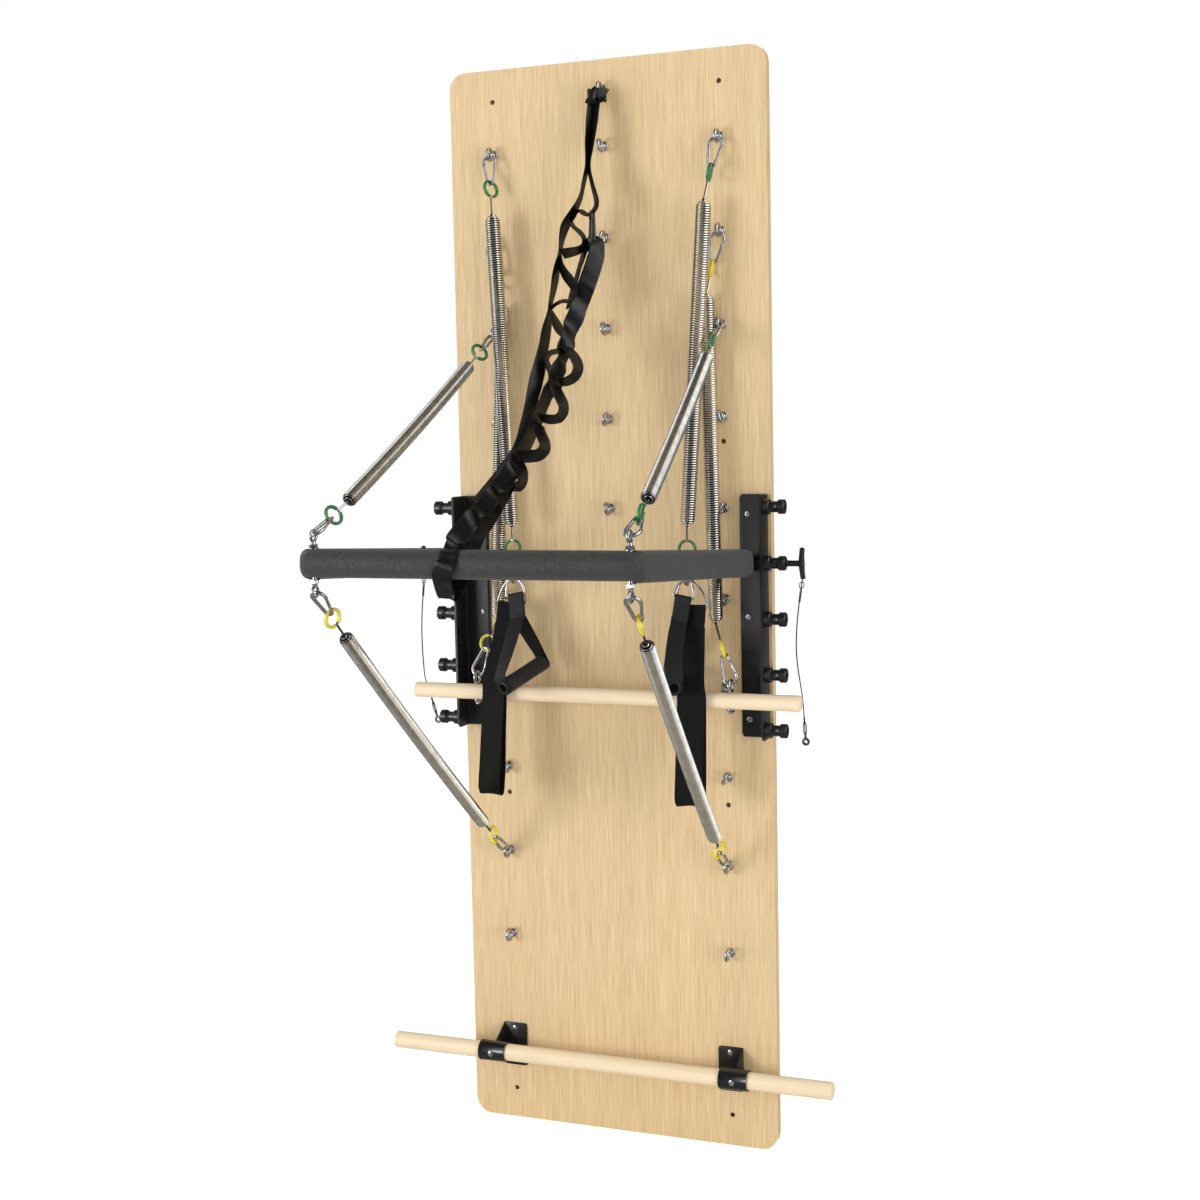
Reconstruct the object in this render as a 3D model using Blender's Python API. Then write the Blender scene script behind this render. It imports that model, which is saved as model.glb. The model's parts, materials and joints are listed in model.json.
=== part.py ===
"""Pilates springboard: a wall panel with a sprung push-through bar, a roll-down bar, two
handle springs, a foot bar and a safety strap.

Metres, +Z up. The origin is the centre of the panel's back face, and the front faces -Y.
Run it with blender --background --python part.py, or from the text editor.
"""

import math

import bmesh
import bpy
import numpy as np
from mathutils import Matrix, Vector

# Panel
PANEL_WIDTH = 0.614
PANEL_HEIGHT = 2.0
PANEL_THICKNESS = 0.020
PANEL_CORNER = 0.030
WALL_HOLE_RADIUS = 0.005
WALL_HOLE_X = 0.220
WALL_HOLE_HEIGHTS = (0.942, 0.308, -0.356, -0.942)

# Eyebolts in the panel
EYE_COLUMN_X = 0.2205
EYE_TOP_Z = 0.8445
EYE_PITCH = 0.1641
STRAP_EYE_Z = 0.945
EYE_RADIUS = 0.0103
EYE_WIRE = 0.0027
EYE_REACH = 0.017
EYE_FLANGE_RADIUS = 0.009
EYE_FLANGE = 0.004
SHANK_RADIUS = 0.0038
GREEN_ROW, YELLOW_ROW, BAR_TOP_ROW, BAR_LOW_ROW = 0, 1, 2, 8

# Clearances
SEAT_GAP = 0.0003
BORE_GAP = 0.0004
LINK_GAP = 0.0001

# Carabiners, end rings and spring wire
CARABINER_LENGTH = 0.060
CARABINER_WIRE = 0.0026
CARABINER_WIDE_END = 0.0108
CARABINER_NARROW_END = 0.0062
SPRING_WIRE = 0.0019
END_RING_RADIUS = 0.0150
HANDLE_SPRING_RADIUS = 0.0138
BAR_SPRING_RADIUS = 0.0127
CURLS = 7
CURL_POINTS = 8
HOOK_LENGTH = 0.026

# Side brackets, their bushes and the lock pins
BRACKET_INNER_X = 0.250
BRACKET_OUTER_X = 0.303
BRACKET_DEPTH = 0.050
BRACKET_WALL = 0.004
BRACKET_TOP_Z = 0.213
BRACKET_BOTTOM_Z = -0.227
BRACKET_CORNER = 0.008
BRACKET_SCREW_X = 0.2647
BRACKET_SCREW_HEIGHTS = (0.1774, -0.008, -0.1946)
BUSH_TOP_Z = 0.1915
BUSH_PITCH = 0.100
BUSH_COUNT = 5
BUSH_REACH = 0.034
BUSH_COLLAR_RADIUS = 0.0138
BUSH_COLLAR = 0.012
BUSH_WAIST_RADIUS = 0.0100
BUSH_WAIST = 0.014
BUSH_LIP_RADIUS = 0.0130
BUSH_LENGTH = 0.040
PIN_RADIUS = 0.0046
PIN_STEM_RADIUS = 0.0055
PIN_STEM = 0.024
PIN_HANDLE = 0.057
PIN_HANDLE_THICKNESS = 0.011

# Push-through bar
BAR_HALF_WIDTH = 0.2735
BAR_REACH = 0.616
BAR_HEIGHT_Z = 0.129
BAR_TUBE_RADIUS = 0.0160
BAR_TUBE_WALL = 0.0018
BAR_PAD_RADIUS = 0.0246
BAR_PAD_END = 0.060
BAR_TUBE_END = 0.014
BAR_EYE_OUT = 0.0200
BAR_EYE_RADIUS = 0.0085
BAR_EYE_WIRE = 0.0024
BAR_EYE_BOLT = 0.0040
BAR_EYE_NUT = 0.0070

# Where each sprung assembly lies: x beside the centre, distance ahead of the panel, height
GREEN_SPRING_TOP = (0.2049, 0.0460, 0.7329)
GREEN_SPRING_LOW = (0.1712, 0.0660, 0.1574)
YELLOW_SPRING_TOP = (0.1995, 0.0220, 0.5700)
YELLOW_SPRING_LOW = (0.2155, 0.0450, -0.0170)
HANDLE_RING_TOP = (0.1695, 0.0665, 0.0607)

# Roll-down bar
ROLL_BAR_RADIUS = 0.0145
ROLL_BAR_LENGTH = 0.756
ROLL_BAR_REACH = 0.0694
ROLL_BAR_Z = -0.1524
ROLL_EYE_X = 0.249
ROLL_EYE_OUT = 0.0125
ROLL_BOLT_BELOW = 0.009

# Handles and foot loops
RING_WIRE = 0.0020
RING_SPLIT = 0.0065
RING_SPLIT_TOP = 0.0032
LOOP_RING_BACK = 0.0050
HANDLE_RING_WIDTH = 0.038
HANDLE_RING_HEIGHT = 0.030
LOOP_RING_WIDTH = 0.056
LOOP_RING_HEIGHT = 0.047
LOOP_RING_SHIFT = 0.009
LOOP_FOLD_SHIFT = 0.013
WEB_THICKNESS = 0.0025
HANDLE_WEB = 0.026
HANDLE_SPLIT_Z = -0.010
HANDLE_SPLIT_REACH = 0.0785
HANDLE_TAB_RADIUS = 0.0150
GRIP_RADIUS = 0.0140
GRIP_BORE = 0.0070
GRIP_ENDS = {
    "left": ((-0.1570, 0.1480, -0.1310), (-0.1200, 0.0520, -0.0950)),
    "right": ((0.1672, 0.1400, -0.1215), (0.1300, 0.0450, -0.1050)),
}
FOOT_WEB = 0.054
FOOT_WEB_AT_RING = 0.026
FOOT_LOOP_BOTTOM = {"left": (-0.2070, 0.1080, -0.3350), "right": (0.1860, 0.1080, -0.3350)}
FOOT_LOOP_MIDDLE = {"left": (-0.2010, 0.0950, -0.1520), "right": (0.1865, 0.0950, -0.1520)}

# Foot bar and its brackets
FOOT_BAR_RADIUS = 0.0160
FOOT_BAR_LENGTH = 0.878
FOOT_BAR_SHIFT = -0.0137
FOOT_BAR_REACH = 0.052
FOOT_BAR_Z = -0.853
FOOT_PLATE_INNER_X = 0.195
FOOT_PLATE_OUTER_X = 0.243
FOOT_PLATE_TOP_Z = -0.811
FOOT_PLATE_BOTTOM_Z = -0.895
FOOT_PLATE_WALL = 0.003
FOOT_CLAMP_WIDTH = 0.054
FOOT_SCREW_Z = -0.8215
SCREW_HEAD_RADIUS = 0.0055
SCREW_HEAD = 0.0025

# Safety strap
STRAP_WIDTH = 0.034
STRAP_THICKNESS = 0.008
STRAP_ROUTE = (
    (-0.003, 0.0210, 0.9310),
    (-0.005, 0.0360, 0.8900),
    (-0.007, 0.0600, 0.8000),
    (-0.002, 0.0900, 0.6600),
    (-0.008, 0.1300, 0.5200),
    (-0.012, 0.2250, 0.3700),
    (-0.018, 0.3750, 0.2550),
    (-0.027, 0.5300, 0.1900),
    (-0.030, BAR_REACH - 0.0360, BAR_HEIGHT_Z + 0.0350),
    (-0.030, BAR_REACH - 0.0205, BAR_HEIGHT_Z + 0.0210),
)
STRAP_LOOP_X = -0.030
STRAP_LOOP_WIDTH = 0.036
STRAP_LOOP_WALL = 0.004
STRAP_LOOP_DROP = 0.026
STRAP_CARABINER_TOP = (0.0090, 0.0850, 0.7180)
STRAP_CARABINER_LOW = (0.0130, 0.0993, 0.6560)
STRAP_CARABINER_WIRE = 0.0030

# Lanyards on the lock pins: x beside the centre and height, all at the pins' own depth
LANYARD_RADIUS = 0.0014
LANYARD_RING_RADIUS = 0.0050
LANYARD_ROUTES = {
    "left": (
        (-0.3690, 0.0470),
        (-0.3762, 0.0290),
        (-0.3797, -0.0058),
        (-0.3815, -0.0406),
        (-0.3815, -0.0735),
        (-0.3798, -0.1084),
        (-0.3771, -0.1355),
        (-0.3647, -0.1740),
        (-0.3552, -0.2050),
    ),
    "right": (
        (0.3670, 0.0470),
        (0.3651, 0.0093),
        (0.3622, -0.0200),
        (0.3606, -0.0584),
        (0.3630, -0.0922),
        (0.3680, -0.1261),
        (0.3710, -0.1475),
        (0.3730, -0.1700),
        (0.3757, -0.2150),
    ),
}
LANYARD_SPACING = 0.0083

ROUND = 12
SIDES = {"left": -1, "right": 1}


def ahead(distance):
    """The y coordinate that lies this far in front of the panel's front face."""
    return -(PANEL_THICKNESS + distance)


def place(x, distance, z):
    return Vector((x, ahead(distance), z))


def mirrored(point, side):
    """A point given as x beside the centre, distance ahead and height, on the given side."""
    x, distance, z = point
    return place(SIDES[side] * x, distance, z)


def eye_height(row):
    return EYE_TOP_Z - EYE_PITCH * row


def eye_centre(side, row):
    return place(SIDES[side] * EYE_COLUMN_X, EYE_REACH, eye_height(row))


# Scene, materials and axes


def clear_scene():
    for obj in list(bpy.data.objects):
        bpy.data.objects.remove(obj, do_unlink=True)


FINISHES = {
    "oak_panel": ((0.78, 0.60, 0.38), 0.45, 0.0),
    "pale_wood": ((0.85, 0.68, 0.50), 0.50, 0.0),
    "black_steel": ((0.012, 0.012, 0.013), 0.42, 0.6),
    "zinc_steel": ((0.62, 0.62, 0.61), 0.28, 1.0),
    "spring_steel": ((0.50, 0.49, 0.46), 0.32, 1.0),
    "grey_foam": ((0.060, 0.060, 0.062), 0.80, 0.0),
    "black_webbing": ((0.010, 0.010, 0.011), 0.85, 0.0),
    "black_plastic": ((0.014, 0.014, 0.015), 0.45, 0.0),
    "steel_cable": ((0.10, 0.10, 0.10), 0.45, 0.7),
}


def material(finish):
    """The Principled BSDF of one finish, made once."""
    made = bpy.data.materials.get(finish)
    if made:
        return made
    colour, roughness, metallic = FINISHES[finish]
    made = bpy.data.materials.new(finish)
    made.use_nodes = True
    shader = made.node_tree.nodes["Principled BSDF"]
    shader.inputs["Base Color"].default_value = (*colour, 1.0)
    shader.inputs["Roughness"].default_value = roughness
    shader.inputs["Metallic"].default_value = metallic
    made.diffuse_color = (*colour, 1.0)
    return made


def axis_at(name, point):
    """An empty on a joint's axis, for the pieces that turn or slide there."""
    empty = bpy.data.objects.new(name, None)
    empty.empty_display_size = 0.03
    empty.location = point
    bpy.context.scene.collection.objects.link(empty)
    return empty


def add(name, data, finish, axis=None):
    """An object whose data is given in world coordinates, hung on its axis if it moves."""
    obj = bpy.data.objects.new(name, data)
    data.materials.clear()
    data.materials.append(material(finish))
    if axis:
        data.transform(Matrix.Translation(-axis.location))
        obj.parent = axis
    bpy.context.scene.collection.objects.link(obj)
    return obj


# Shapes


def mesh_from(build, name="shape"):
    """A mesh made by one function that fills a bmesh."""
    bm = bmesh.new()
    build(bm)
    bmesh.ops.recalc_face_normals(bm, faces=bm.faces)
    mesh = bpy.data.meshes.new(name)
    bm.to_mesh(mesh)
    bm.free()
    return mesh


def turned_to(direction):
    """The rotation that carries +Z to the direction."""
    return Vector((0, 0, 1)).rotation_difference(Vector(direction)).to_matrix().to_4x4()


def cylinder(start, end, radius, segments=ROUND):
    """A round bar between two points."""
    start, end = Vector(start), Vector(end)
    middle = Matrix.Translation((start + end) / 2) @ turned_to(end - start)

    def build(bm):
        bmesh.ops.create_cone(
            bm, cap_ends=True, segments=segments, radius1=radius, radius2=radius,
            depth=(end - start).length, matrix=middle,
        )

    return mesh_from(build)


def spool(centre, axis, stations, segments=ROUND):
    """A turned piece: stations are (distance along the axis, radius), each ring bridged to the next."""
    turn = Matrix.Translation(centre) @ turned_to(axis)
    angles = [2 * math.pi * k / segments for k in range(segments)]

    def build(bm):
        rings = [
            [bm.verts.new(turn @ Vector((r * math.cos(a), r * math.sin(a), h))) for a in angles]
            for h, r in stations
        ]
        for low, high in zip(rings, rings[1:]):
            for k in range(segments):
                n = (k + 1) % segments
                bm.faces.new((low[k], low[n], high[n], high[k]))
        bm.faces.new(rings[0])
        bm.faces.new(rings[-1])

    return mesh_from(build)


def block(low, high):
    """A box between its lowest and highest corners."""
    low, high = Vector(low), Vector(high)
    size = Matrix.Diagonal((*(high - low), 1))

    def build(bm):
        bmesh.ops.create_cube(bm, size=1, matrix=Matrix.Translation((low + high) / 2) @ size)

    return mesh_from(build)


def plate(outline, start, end):
    """A flat outline of points, extruded from its place by the step from start to end."""
    step = Vector(end) - Vector(start)

    def build(bm):
        face = bm.faces.new([bm.verts.new(Vector(p) + Vector(start)) for p in outline])
        lifted = bmesh.ops.extrude_face_region(bm, geom=[face])["geom"]
        bmesh.ops.translate(
            bm, vec=step, verts=[v for v in lifted if isinstance(v, bmesh.types.BMVert)]
        )

    return mesh_from(build)


def rounded_rectangle(width, height, radius, steps=4):
    """Corner points (x, z) of a rectangle with round corners, centred on zero."""
    points = []
    for k, (sx, sz) in enumerate(((1, 1), (-1, 1), (-1, -1), (1, -1))):
        centre = (sx * (width / 2 - radius), sz * (height / 2 - radius))
        for n in range(steps + 1):
            a = math.pi / 2 * (k + n / steps)
            points.append((centre[0] + radius * math.cos(a), centre[1] + radius * math.sin(a)))
    return points


def swept(sections, closed=False):
    """A skin over equal-sized sections, each a list of points, with flat ends unless closed."""

    def build(bm):
        rings = [[bm.verts.new(p) for p in section] for section in sections]
        count = len(rings[0])
        spans = list(zip(rings, rings[1:] + rings[:1])) if closed else list(zip(rings, rings[1:]))
        for low, high in spans:
            for k in range(count):
                n = (k + 1) % count
                bm.faces.new((low[k], low[n], high[n], high[k]))
        if not closed:
            bm.faces.new(rings[0])
            bm.faces.new(rings[-1])

    return mesh_from(build)


def tangents(points, closed=False):
    steps = [(b - a).normalized() for a, b in zip(points, points[1:])]
    if closed:
        steps.append((points[0] - points[-1]).normalized())
        return [(steps[k - 1] + steps[k]).normalized() for k in range(len(points))]
    inner = [(a + b).normalized() for a, b in zip(steps, steps[1:])]
    return [steps[0], *inner, steps[-1]]


def tube_sections(points, radius, segments, up=Vector((0, 0, 1))):
    """Round sections along a path that stays near square to up, mitred at each corner."""
    steps = [(b - a).normalized() for a, b in zip(points, points[1:])]
    sections = []
    for k, (point, along) in enumerate(zip(points, tangents(points))):
        side = along.cross(up).normalized()
        lift = side.cross(along)
        near = steps[min(k, len(steps) - 1)]
        widen = 1 / max(along.dot(near), 0.5)
        angles = [2 * math.pi * n / segments for n in range(segments)]
        sections.append(
            [point + side * (radius * widen * math.cos(a)) + lift * (radius * math.sin(a)) for a in angles]
        )
    return sections


def ribbon(points, width, thickness, across, closed=False):
    """Webbing along a path. width, thickness and across may each be a list, one for each point."""
    given = [v if isinstance(v, list) else [v] * len(points) for v in (width, thickness, across)]
    sections = []
    for point, along, w, t, side in zip(points, tangents(points, closed), *given):
        side = (side - along * side.dot(along)).normalized()
        face = side.cross(along)
        a, b = side * (w / 2), face * (t / 2)
        sections.append([point + a + b, point - a + b, point - a - b, point + a - b])
    return swept(sections, closed)


def wire(name, points, radius, finish, axis=None, closed=False, resolution=1):
    """A round wire: a curve through the points with a bevel, its ends filled."""
    curve = bpy.data.curves.new(name, "CURVE")
    curve.dimensions = "3D"
    curve.bevel_depth = radius
    curve.bevel_resolution = resolution
    curve.use_fill_caps = True
    spline = curve.splines.new("POLY")
    spline.points.add(len(points) - 1)
    for spot, point in zip(spline.points, points):
        spot.co = (*point, 1)
    spline.use_cyclic_u = closed
    return add(name, curve, finish, axis)


def ring_mesh(centre, axis, radius, wire_radius, around=12, segments=6, start=Vector((0, 0, 1))):
    """A round ring about an axis, as a closed sweep of a small circle."""
    axis = Vector(axis).normalized()
    first = (start - axis * start.dot(axis)).normalized()
    second = axis.cross(first)
    sections = []
    for k in range(around):
        a = 2 * math.pi * k / around
        out = first * math.cos(a) + second * math.sin(a)
        rim = [2 * math.pi * n / segments for n in range(segments)]
        sections.append(
            [centre + out * (radius + wire_radius * math.cos(b)) + axis * (wire_radius * math.sin(b)) for b in rim]
        )
    return swept(sections, closed=True)


def combined(meshes, operation="UNION"):
    """The first mesh joined with, or cut by, the rest, as one mesh."""
    base = bpy.data.objects.new("base", meshes[0])
    bpy.context.scene.collection.objects.link(base)
    helpers = []
    for mesh in meshes[1:]:
        helper = bpy.data.objects.new("helper", mesh)
        helper.hide_render = True
        helper.display_type = "WIRE"
        bpy.context.scene.collection.objects.link(helper)
        helpers.append(helper)
        step = base.modifiers.new("step", "BOOLEAN")
        step.operation = operation
        step.solver = "EXACT"
        step.object = helper
    graph = bpy.context.evaluated_depsgraph_get()
    result = bpy.data.meshes.new_from_object(base.evaluated_get(graph))
    for obj in (base, *helpers):
        bpy.data.objects.remove(obj)
    return result


def cut(mesh, cutters):
    return combined([mesh, *cutters], "DIFFERENCE")


# Links: carabiners, end rings and springs


def unit(vector):
    return Vector(vector).normalized()


def carabiner_points(near, far, across):
    """A pear-shaped loop of wire. Its wide end crosses near square on, its narrow end far."""
    along = unit(far - near)
    side = unit(across - along * across.dot(along))
    length = (far - near).length
    wide, narrow = CARABINER_WIDE_END, CARABINER_NARROW_END
    lean = math.acos((wide - narrow) / (length - wide - narrow))
    step = (2 * math.pi - 2 * lean) / 5
    wide_at = wide * math.cos(step / 2)
    narrow_at = length - narrow * math.cos(lean / 3)
    loop = [
        (wide_at + wide * math.cos(lean + step * k), wide * math.sin(lean + step * k))
        for k in range(6)
    ]
    loop += [
        (narrow_at + narrow * math.cos(a), narrow * math.sin(a))
        for a in (-lean, -lean / 3, lean / 3, lean)
    ]
    return [near + along * x + side * y for x, y in loop]


def add_carabiner(name, eye_wire, toward, across, axis=None):
    """Hangs a carabiner on the wire of an eye and returns the point its narrow end pulls on."""
    along = unit(toward - eye_wire)
    near = eye_wire - along * (EYE_WIRE + CARABINER_WIRE + LINK_GAP)
    far = near + along * (CARABINER_LENGTH - 2 * CARABINER_WIRE)
    points = carabiner_points(near, far, across)
    wire(name, points, CARABINER_WIRE, "zinc_steel", axis, closed=True)
    return far


def ring_turns(catch, along, normal, reverse=False):
    """Points round a spring's end ring, from its open end to the side where the hook leaves.

    Angles are measured from that side, and the ring crosses its carabiner square on at 180.
    """
    centre = catch + along * (END_RING_RADIUS * math.cos(math.radians(20)))
    out = unit(normal.cross(along))
    loop = [
        centre + along * (END_RING_RADIUS * math.cos(a)) + out * (END_RING_RADIUS * math.sin(a))
        for a in (math.radians(d) for d in (24, 52, 88, 124, 160, 200, 240, 280, 320))
    ]
    hook = centre + along * END_RING_RADIUS
    return [hook, *reversed(loop)] if reverse else [*loop, hook]


def helix(start, end, radius, curls, per_curl):
    """Points along a coil whose first and last half turns widen from, and close to, its axis."""
    along = unit(end - start)
    side = unit(along.cross(Vector((0.31, 0.95, 0.05))))
    other = along.cross(side)
    count = curls * per_curl
    points = []
    for k in range(count + 1):
        turn = k / per_curl
        spread = radius * min(1.0, 2 * turn + 0.15, 2 * (curls - turn) + 0.15)
        a = 2 * math.pi * turn
        centre = start.lerp(end, k / count)
        points.append(centre + side * (spread * math.cos(a)) + other * (spread * math.sin(a)))
    return points


def least_self_gap(points, radius, apart):
    """The least gap between stretches of one tube that lie at least apart along it."""
    places = np.array([tuple(p) for p in points])
    walked = np.concatenate([[0], np.cumsum(np.linalg.norm(np.diff(places, axis=0), axis=1))])
    far = np.abs(walked[:, None] - walked[None]) > apart
    gaps = np.linalg.norm(places[:, None] - places[None], axis=2)
    return gaps[far].min() - 2 * radius


def add_spring(name, catch_a, start, end, catch_b, radius, normals, axis=None):
    """A spring of one unbroken wire: end ring, hook, curls, hook and end ring.

    catch_a and catch_b are where each end ring's own wire sits in its carabiner.
    """
    coil = radius - SPRING_WIRE
    along_a, along_b = unit(start - catch_a), unit(end - catch_b)
    points = ring_turns(catch_a, along_a, normals[0])
    points += [start, *helix(start, end, coil, CURLS, CURL_POINTS)[1:-1], end]
    points += ring_turns(catch_b, along_b, normals[1], reverse=True)
    print(f"{name}: least gap to itself {1000 * least_self_gap(points, SPRING_WIRE, 0.03):.2f} mm")
    return wire(name, points, SPRING_WIRE, "spring_steel", axis)


def ring_catch(carabiner_end, toward):
    """Where an end ring's wire sits inside a carabiner's narrow end."""
    along = unit(toward - carabiner_end)
    return carabiner_end - along * (CARABINER_WIRE + SPRING_WIRE + LINK_GAP)


# Panel and its eyebolts

CARRYING_EYES = [
    (f"eyebolt_{use}_{side}", eye_centre(side, row))
    for use, row in (
        ("handle_spring", GREEN_ROW),
        ("roll_down", YELLOW_ROW),
        ("bar_spring_upper", BAR_TOP_ROW),
        ("bar_spring_lower", BAR_LOW_ROW),
    )
    for side in SIDES
] + [("eyebolt_strap", place(0, EYE_REACH, STRAP_EYE_Z))]


def add_panel():
    outline = rounded_rectangle(PANEL_WIDTH, PANEL_HEIGHT, PANEL_CORNER)
    back = [(x, 0, z) for x, z in outline]
    panel = plate(back, (0, 0, 0), (0, -PANEL_THICKNESS, 0))
    through = PANEL_THICKNESS + 0.004
    holes = [
        (side * WALL_HOLE_X, z, WALL_HOLE_RADIUS, 8)
        for z in WALL_HOLE_HEIGHTS
        for side in SIDES.values()
    ] + [(eye.x, eye.z, SHANK_RADIUS + BORE_GAP, 6) for _, eye in CARRYING_EYES]
    cutters = [cylinder((x, 0.004, z), (x, -through, z), r, n) for x, z, r, n in holes]
    add("board_panel", cut(panel, cutters), "oak_panel")


def add_eyebolts():
    for name, centre in CARRYING_EYES:
        face = Vector((centre.x, ahead(SEAT_GAP), centre.z))
        flange = cylinder(face, face + Vector((0, -EYE_FLANGE, 0)), EYE_FLANGE_RADIUS, 7)
        shank = cylinder((centre.x, -0.002, centre.z), face + Vector((0, -0.002, 0)), SHANK_RADIUS, 6)
        eye = ring_mesh(centre, (1, 0, 0), EYE_RADIUS, EYE_WIRE, 12, 5)
        add(name, combined([eye, flange, shank]), "zinc_steel")


# Side brackets, bushes, lock pins and lanyards


def bush_heights():
    return [BUSH_TOP_Z - BUSH_PITCH * k for k in range(BUSH_COUNT)]


PIVOT_Z = BUSH_TOP_Z - BUSH_PITCH
BUSH_END_X = BRACKET_OUTER_X + BUSH_LENGTH


def screw_head(point):
    point = Vector(point)
    return cylinder(point + Vector((0, 0.001, 0)), point + Vector((0, -SCREW_HEAD, 0)), SCREW_HEAD_RADIUS, 6)


def add_bracket(side):
    sign = SIDES[side]
    middle_z = (BRACKET_TOP_Z + BRACKET_BOTTOM_Z) / 2
    height = BRACKET_TOP_Z - BRACKET_BOTTOM_Z
    width = BRACKET_OUTER_X - BRACKET_INNER_X
    centre_x = (BRACKET_OUTER_X + BRACKET_INNER_X) / 2
    outline = [
        (sign * (centre_x + (x if x < 0 else width / 2)), 0, middle_z + z)
        for x, z in rounded_rectangle(width, height, BRACKET_CORNER, 2)
        if x < 0 or abs(z) > height / 2 - 1e-6
    ]
    outline = [p for k, p in enumerate(outline) if p != outline[k - 1]]
    flange = plate(outline, (0, ahead(SEAT_GAP), 0), (0, ahead(SEAT_GAP + BRACKET_WALL), 0))
    web = block(
        (min(sign * BRACKET_OUTER_X, sign * (BRACKET_OUTER_X - BRACKET_WALL)), ahead(BRACKET_DEPTH), BRACKET_BOTTOM_Z),
        (max(sign * BRACKET_OUTER_X, sign * (BRACKET_OUTER_X - BRACKET_WALL)), ahead(SEAT_GAP), BRACKET_TOP_Z),
    )
    root = 0.001
    collar_end = root + BUSH_COLLAR
    waist_end = collar_end + BUSH_WAIST
    stations = [
        (0, BUSH_COLLAR_RADIUS),
        (collar_end, BUSH_COLLAR_RADIUS),
        (collar_end + 0.002, BUSH_WAIST_RADIUS),
        (waist_end, BUSH_WAIST_RADIUS),
        (waist_end + 0.002, BUSH_LIP_RADIUS),
        (root + BUSH_LENGTH, BUSH_LIP_RADIUS),
    ]
    bushes = [
        spool(place(sign * (BRACKET_OUTER_X - root), BUSH_REACH, z), (sign, 0, 0), stations, 8)
        for z in bush_heights()
    ]
    heads = [
        screw_head(place(sign * BRACKET_SCREW_X, SEAT_GAP + BRACKET_WALL, z))
        for z in BRACKET_SCREW_HEIGHTS
    ]
    bores = [
        cylinder(
            place(sign * (BRACKET_OUTER_X - 0.012), BUSH_REACH, z),
            place(sign * (BUSH_END_X + 0.004), BUSH_REACH, z),
            PIN_RADIUS + BORE_GAP,
            8 if z == PIVOT_Z else 6,
        )
        for z in bush_heights()
    ]
    body = combined([flange, web, *bushes, *heads])
    add(f"side_bracket_{side}", cut(body, bores), "black_steel")


def pin_handle_x(side):
    return SIDES[side] * (BUSH_END_X + SEAT_GAP + PIN_STEM + PIN_HANDLE_THICKNESS / 2)


def add_lock_pin(side):
    sign = SIDES[side]
    axis = axis_at(f"lock_pin_{side}_axis", place(sign * BUSH_END_X, BUSH_REACH, PIVOT_Z))
    stop = BUSH_END_X + SEAT_GAP
    shaft = cylinder(
        place(sign * (BAR_HALF_WIDTH - BAR_TUBE_RADIUS + 0.004), BUSH_REACH, PIVOT_Z),
        place(sign * (stop + 0.002), BUSH_REACH, PIVOT_Z),
        PIN_RADIUS,
        8,
    )
    stem = cylinder(
        place(sign * stop, BUSH_REACH, PIVOT_Z),
        place(sign * (stop + PIN_STEM + 0.004), BUSH_REACH, PIVOT_Z),
        PIN_STEM_RADIUS,
        8,
    )
    half, thick = PIN_HANDLE / 2, PIN_HANDLE_THICKNESS / 2
    grip = spool(
        place(pin_handle_x(side), BUSH_REACH, PIVOT_Z),
        (0, 0, 1),
        [(-half, thick * 0.6), (-half + 0.003, thick), (half - 0.003, thick), (half, thick * 0.6)],
        8,
    )
    add(f"lock_pin_{side}", combined([grip, stem, shaft]), "black_plastic", axis)
    return axis


def smooth_route(points, spacing):
    """Evenly spaced points on a smooth curve through the given ones."""
    ends = [2 * points[0] - points[1], *points, 2 * points[-1] - points[-2]]
    fine = []
    for p0, p1, p2, p3 in zip(ends, ends[1:], ends[2:], ends[3:]):
        for k in range(12):
            t = k / 12
            fine.append(
                0.5 * ((2 * p1) + (p2 - p0) * t + (2 * p0 - 5 * p1 + 4 * p2 - p3) * t ** 2
                       + (3 * p1 - p0 - 3 * p2 + p3) * t ** 3)
            )
    fine.append(points[-1])
    walked = [0.0]
    for a, b in zip(fine, fine[1:]):
        walked.append(walked[-1] + (b - a).length)
    count = max(2, round(walked[-1] / spacing))
    wanted = [walked[-1] * k / count for k in range(count + 1)]
    placed, n = [], 0
    for goal in wanted:
        while n < len(fine) - 2 and walked[n + 1] < goal:
            n += 1
        share = (goal - walked[n]) / (walked[n + 1] - walked[n])
        placed.append(fine[n].lerp(fine[n + 1], min(max(share, 0.0), 1.0)))
    return placed


def add_lanyard(side, axis):
    """The cable that hangs from a lock pin's handle, and the ring at its far end."""
    route = [place(x, BUSH_REACH, z) for x, z in LANYARD_ROUTES[side]]
    split_top = PIVOT_Z - PIN_HANDLE / 2
    route[0] = Vector((pin_handle_x(side), ahead(BUSH_REACH), split_top - SEAT_GAP))
    points = smooth_route(route, LANYARD_SPACING)
    wire(f"lanyard_{side}", points, LANYARD_RADIUS, "steel_cable", axis, resolution=2)
    down = unit(points[-1] - points[-2])
    face = points[-1] + down * SEAT_GAP
    lug = ring_mesh(
        face + down * (LANYARD_RING_RADIUS + 0.0045), (0, 1, 0), LANYARD_RING_RADIUS, 0.0018, 9, 4
    )
    barrel = cylinder(face, face + down * 0.005, 0.0022, 6)
    add(f"lanyard_ring_{side}", combined([lug, barrel]), "zinc_steel", axis)


# Push-through bar, its pad, eyes and springs


def bar_corner(sign):
    return place(sign * BAR_HALF_WIDTH, BAR_REACH, BAR_HEIGHT_Z)


def bar_arm_point(sign, distance):
    """The point on an arm's centre line at this distance ahead of the panel."""
    pivot = place(sign * BAR_HALF_WIDTH, BUSH_REACH, PIVOT_Z)
    share = (distance - BUSH_REACH) / (BAR_REACH - BUSH_REACH)
    return pivot.lerp(bar_corner(sign), share)


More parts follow.
